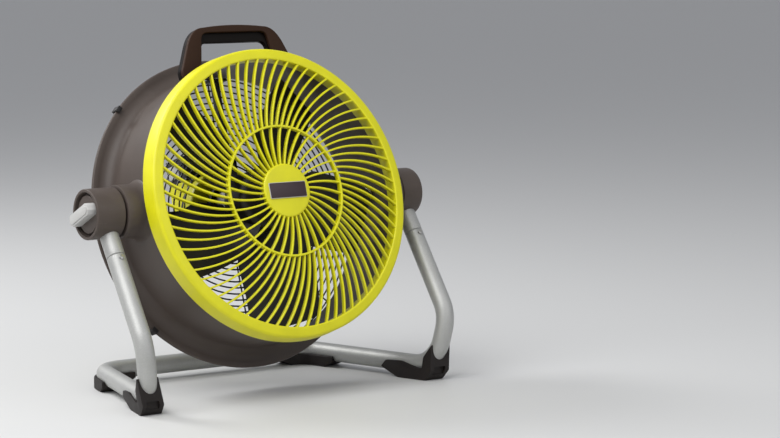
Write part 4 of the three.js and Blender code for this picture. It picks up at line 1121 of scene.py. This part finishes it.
def carved(name, block, tools, finish, stands_for, edge, after=0.35):
    """A block with rounded edges, less its cutting tools, with the new edges softened too."""
    thing = bpy.data.objects.new(name, joined_mesh(name, [block]))
    bpy.context.scene.collection.objects.link(thing)
    soft = thing.modifiers.new("edges", "BEVEL")
    soft.width, soft.segments, soft.limit_method, soft.angle_limit = edge * MM, 4, "ANGLE", math.radians(25)
    cutters = []
    for number, tool in enumerate(tools):
        cutter = bpy.data.objects.new(f"{name}_cutter_{number}", joined_mesh(f"{name}_cutter", [tool]))
        bpy.context.scene.collection.objects.link(cutter)
        carve = thing.modifiers.new("carve", "BOOLEAN")
        carve.operation, carve.object, carve.solver = "DIFFERENCE", cutter, "EXACT"
        cutters.append(cutter)
    rim = thing.modifiers.new("rims", "BEVEL")
    rim.width, rim.segments, rim.limit_method, rim.angle_limit = after * MM, 2, "ANGLE", math.radians(40)
    apply_modifiers(thing)
    for cutter in cutters:
        bpy.data.objects.remove(cutter)
    return finished(thing, finish, "stand", stands_for, crease=35)


def boot_place(side):
    """A boot at a front corner. It leans out with the leg above the tube and follows the rail behind."""
    def place(back, up, across):
        y = back - BOOT_FACE
        x = across + LEG_LEAN * (up - FRONT_CORNER[2]) - RAIL_SLOPE * np.maximum(0, y)
        return on_stand(side * (FRONT_CORNER[0] + x), FRONT_CORNER[1] + y, up)
    return place


boot_outline = soften(
    [(5, 44), (0, 12), (10, 0), (50, 0), (77, 11), (71, 19.5), (48, 20.5), (21, 13.5), (16, 15), (16, 28)],
    [1.2, 1.5, 1.5, 3, 2, 2, 3, 3, 2, 2], 4,
)
half_width = BOOT_WIDTH / 2
window_half, window_low, window_high = 8.5, 7.5, 17.0
window = [
    (window_half, window_low), (window_half, window_high),
    (-window_half, window_high), (-window_half, window_low),
]
tube_bed = swept(on_stand(*tube_path.T), TUBE_RADIUS + BED_GAP, 48)
throat = np.concatenate([
    arc((0, THROAT_HEIGHT), THROAT_RADIUS, 180, 360, 20),
    [(THROAT_RADIUS, THROAT_HEIGHT + 10), (-THROAT_RADIUS, THROAT_HEIGHT + 10)],
])
for name, side in SIDES.items():
    place = boot_place(side)
    from_front = lambda a, b, level, place=place: place(level, b, a)
    window_tool = prism(soften(window, 1.2, 4), TOOL_START, WINDOW_DEPTH, from_front)
    tools = [tube_bed, window_tool, prism(throat, TOOL_START, BOOT_FACE, from_front)]
    block = prism(boot_outline, -half_width, half_width, place)
    carved(f"boot_{name}", block, tools, foot, f"front_boot_{name}", 1.2)
print("boots made")

# %% [markdown]
# A rear pad follows the tube round its bend, so it is a bar carried along a path with the same
# bend. Its section is a flat-bottomed block whose top is open for the tube, and its two ends fall
# away to the floor.

# %% Rear pads
PAD_RAIL, PAD_BAR, PAD_THICK = 58.0, 40.0, 14.0
PAD_LIFT, PAD_LIFT_RUN = 7.0, 12.0
corner = REAR_CORNER * [1, 1, 0]
rail_way = rail / np.linalg.norm(rail)
pad_ends = corner - rail_way * PAD_RAIL, corner - [PAD_BAR, 0, 0]
pad_path = bent_line([pad_ends[0], corner, pad_ends[1]], [BENDS["rear"]], 20, 4.0)
pad_section = soften(
    [(-half_width, 0), (half_width, 0), (half_width, PAD_THICK), (-half_width, PAD_THICK)], 1.6, 4,
)


def pad_block(side):
    """A section of (across, up) points carried along the pad's path. The undersides of its ends rise."""
    way = np.gradient(pad_path, axis=0)
    across = np.cross(way / np.linalg.norm(way, axis=1, keepdims=True), [0, 0, 1])
    run = np.concatenate([[0], np.cumsum(np.linalg.norm(np.diff(pad_path, axis=0), axis=1))])
    lift = PAD_LIFT * np.clip(1 - np.minimum(run, run[-1] - run) / PAD_LIFT_RUN, 0, 1)
    offset, up = pad_section.T[:, None, :]
    up = lift[:, None] + up * (1 - lift[:, None] / PAD_THICK)
    points = pad_path[:, None, :] + offset[..., None] * across[:, None, :]
    return surface(on_stand(side * points[..., 0], points[..., 1], up), capped=True)


for name, side in SIDES.items():
    carved(f"pad_{name}", pad_block(side), [tube_bed], foot, f"rear_pad_{name}", 0.4)
print("pads made")

# %% [markdown]
# ## Floor and light
# A pale matt floor and a pale surround keep the colours plain. One large soft light stands to the
# left of the camera, a weaker one to the right, and a strip behind draws a line along the tube and
# the drum's edge.

# %% Floor
FLOOR = 30
floor_finish = bpy.data.materials.new("floor")
floor_finish.use_nodes = True
floor_shader = floor_finish.node_tree.nodes["Principled BSDF"]
floor_shader.inputs["Base Color"].default_value = (0.62, 0.62, 0.61, 1)
floor_shader.inputs["Roughness"].default_value = 0.5
floor_mesh = bpy.data.meshes.new("floor")
floor_corners = [(-FLOOR, -FLOOR, 0), (FLOOR, -FLOOR, 0), (FLOOR, FLOOR, 0), (-FLOOR, FLOOR, 0)]
floor_mesh.from_pydata(floor_corners, [], [(0, 1, 2, 3)])
floor_mesh.materials.append(floor_finish)
floor = bpy.data.objects.new("floor", floor_mesh)
bpy.context.scene.collection.objects.link(floor)
floor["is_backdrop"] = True

# %% Lights
def light(name, azimuth, elevation, distance, size, watts):
    """A square soft light aimed at the fan. Its azimuth is 0 in front and negative to the fan's left."""
    azimuth, elevation = math.radians(azimuth), math.radians(elevation)
    level = math.cos(elevation)
    toward = Vector((math.sin(azimuth) * level, -math.cos(azimuth) * level, math.sin(elevation)))
    lamp = bpy.data.objects.new(name, bpy.data.lights.new(name, "AREA"))
    lamp.data.size, lamp.data.energy = size, watts
    lamp.location = Vector(PIVOT) + toward * distance
    lamp.rotation_mode = "QUATERNION"
    lamp.rotation_quaternion = (-toward).to_track_quat("-Z", "Y")
    bpy.context.scene.collection.objects.link(lamp)


light("key", -70, 50, 2.6, 2.2, 66)
light("fill", 15, 30, 3.2, 2.0, 16)
light("strip", -150, 38, 2.4, 0.9, 30)
bpy.context.scene.view_settings.view_transform = "Standard"
world = bpy.data.worlds.new("pale room")
world.use_nodes = True
room = world.node_tree.nodes["Background"]
room.inputs["Color"].default_value = (0.92, 0.94, 1.0, 1)
room.inputs["Strength"].default_value = 0.42
bpy.context.scene.world = world
print(len(pieces), "pieces")

# %% [markdown]
# ## Sizes
# The box of the finished looks is measured, with the floor and hidden parts left out.

# %% Finish
low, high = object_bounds()
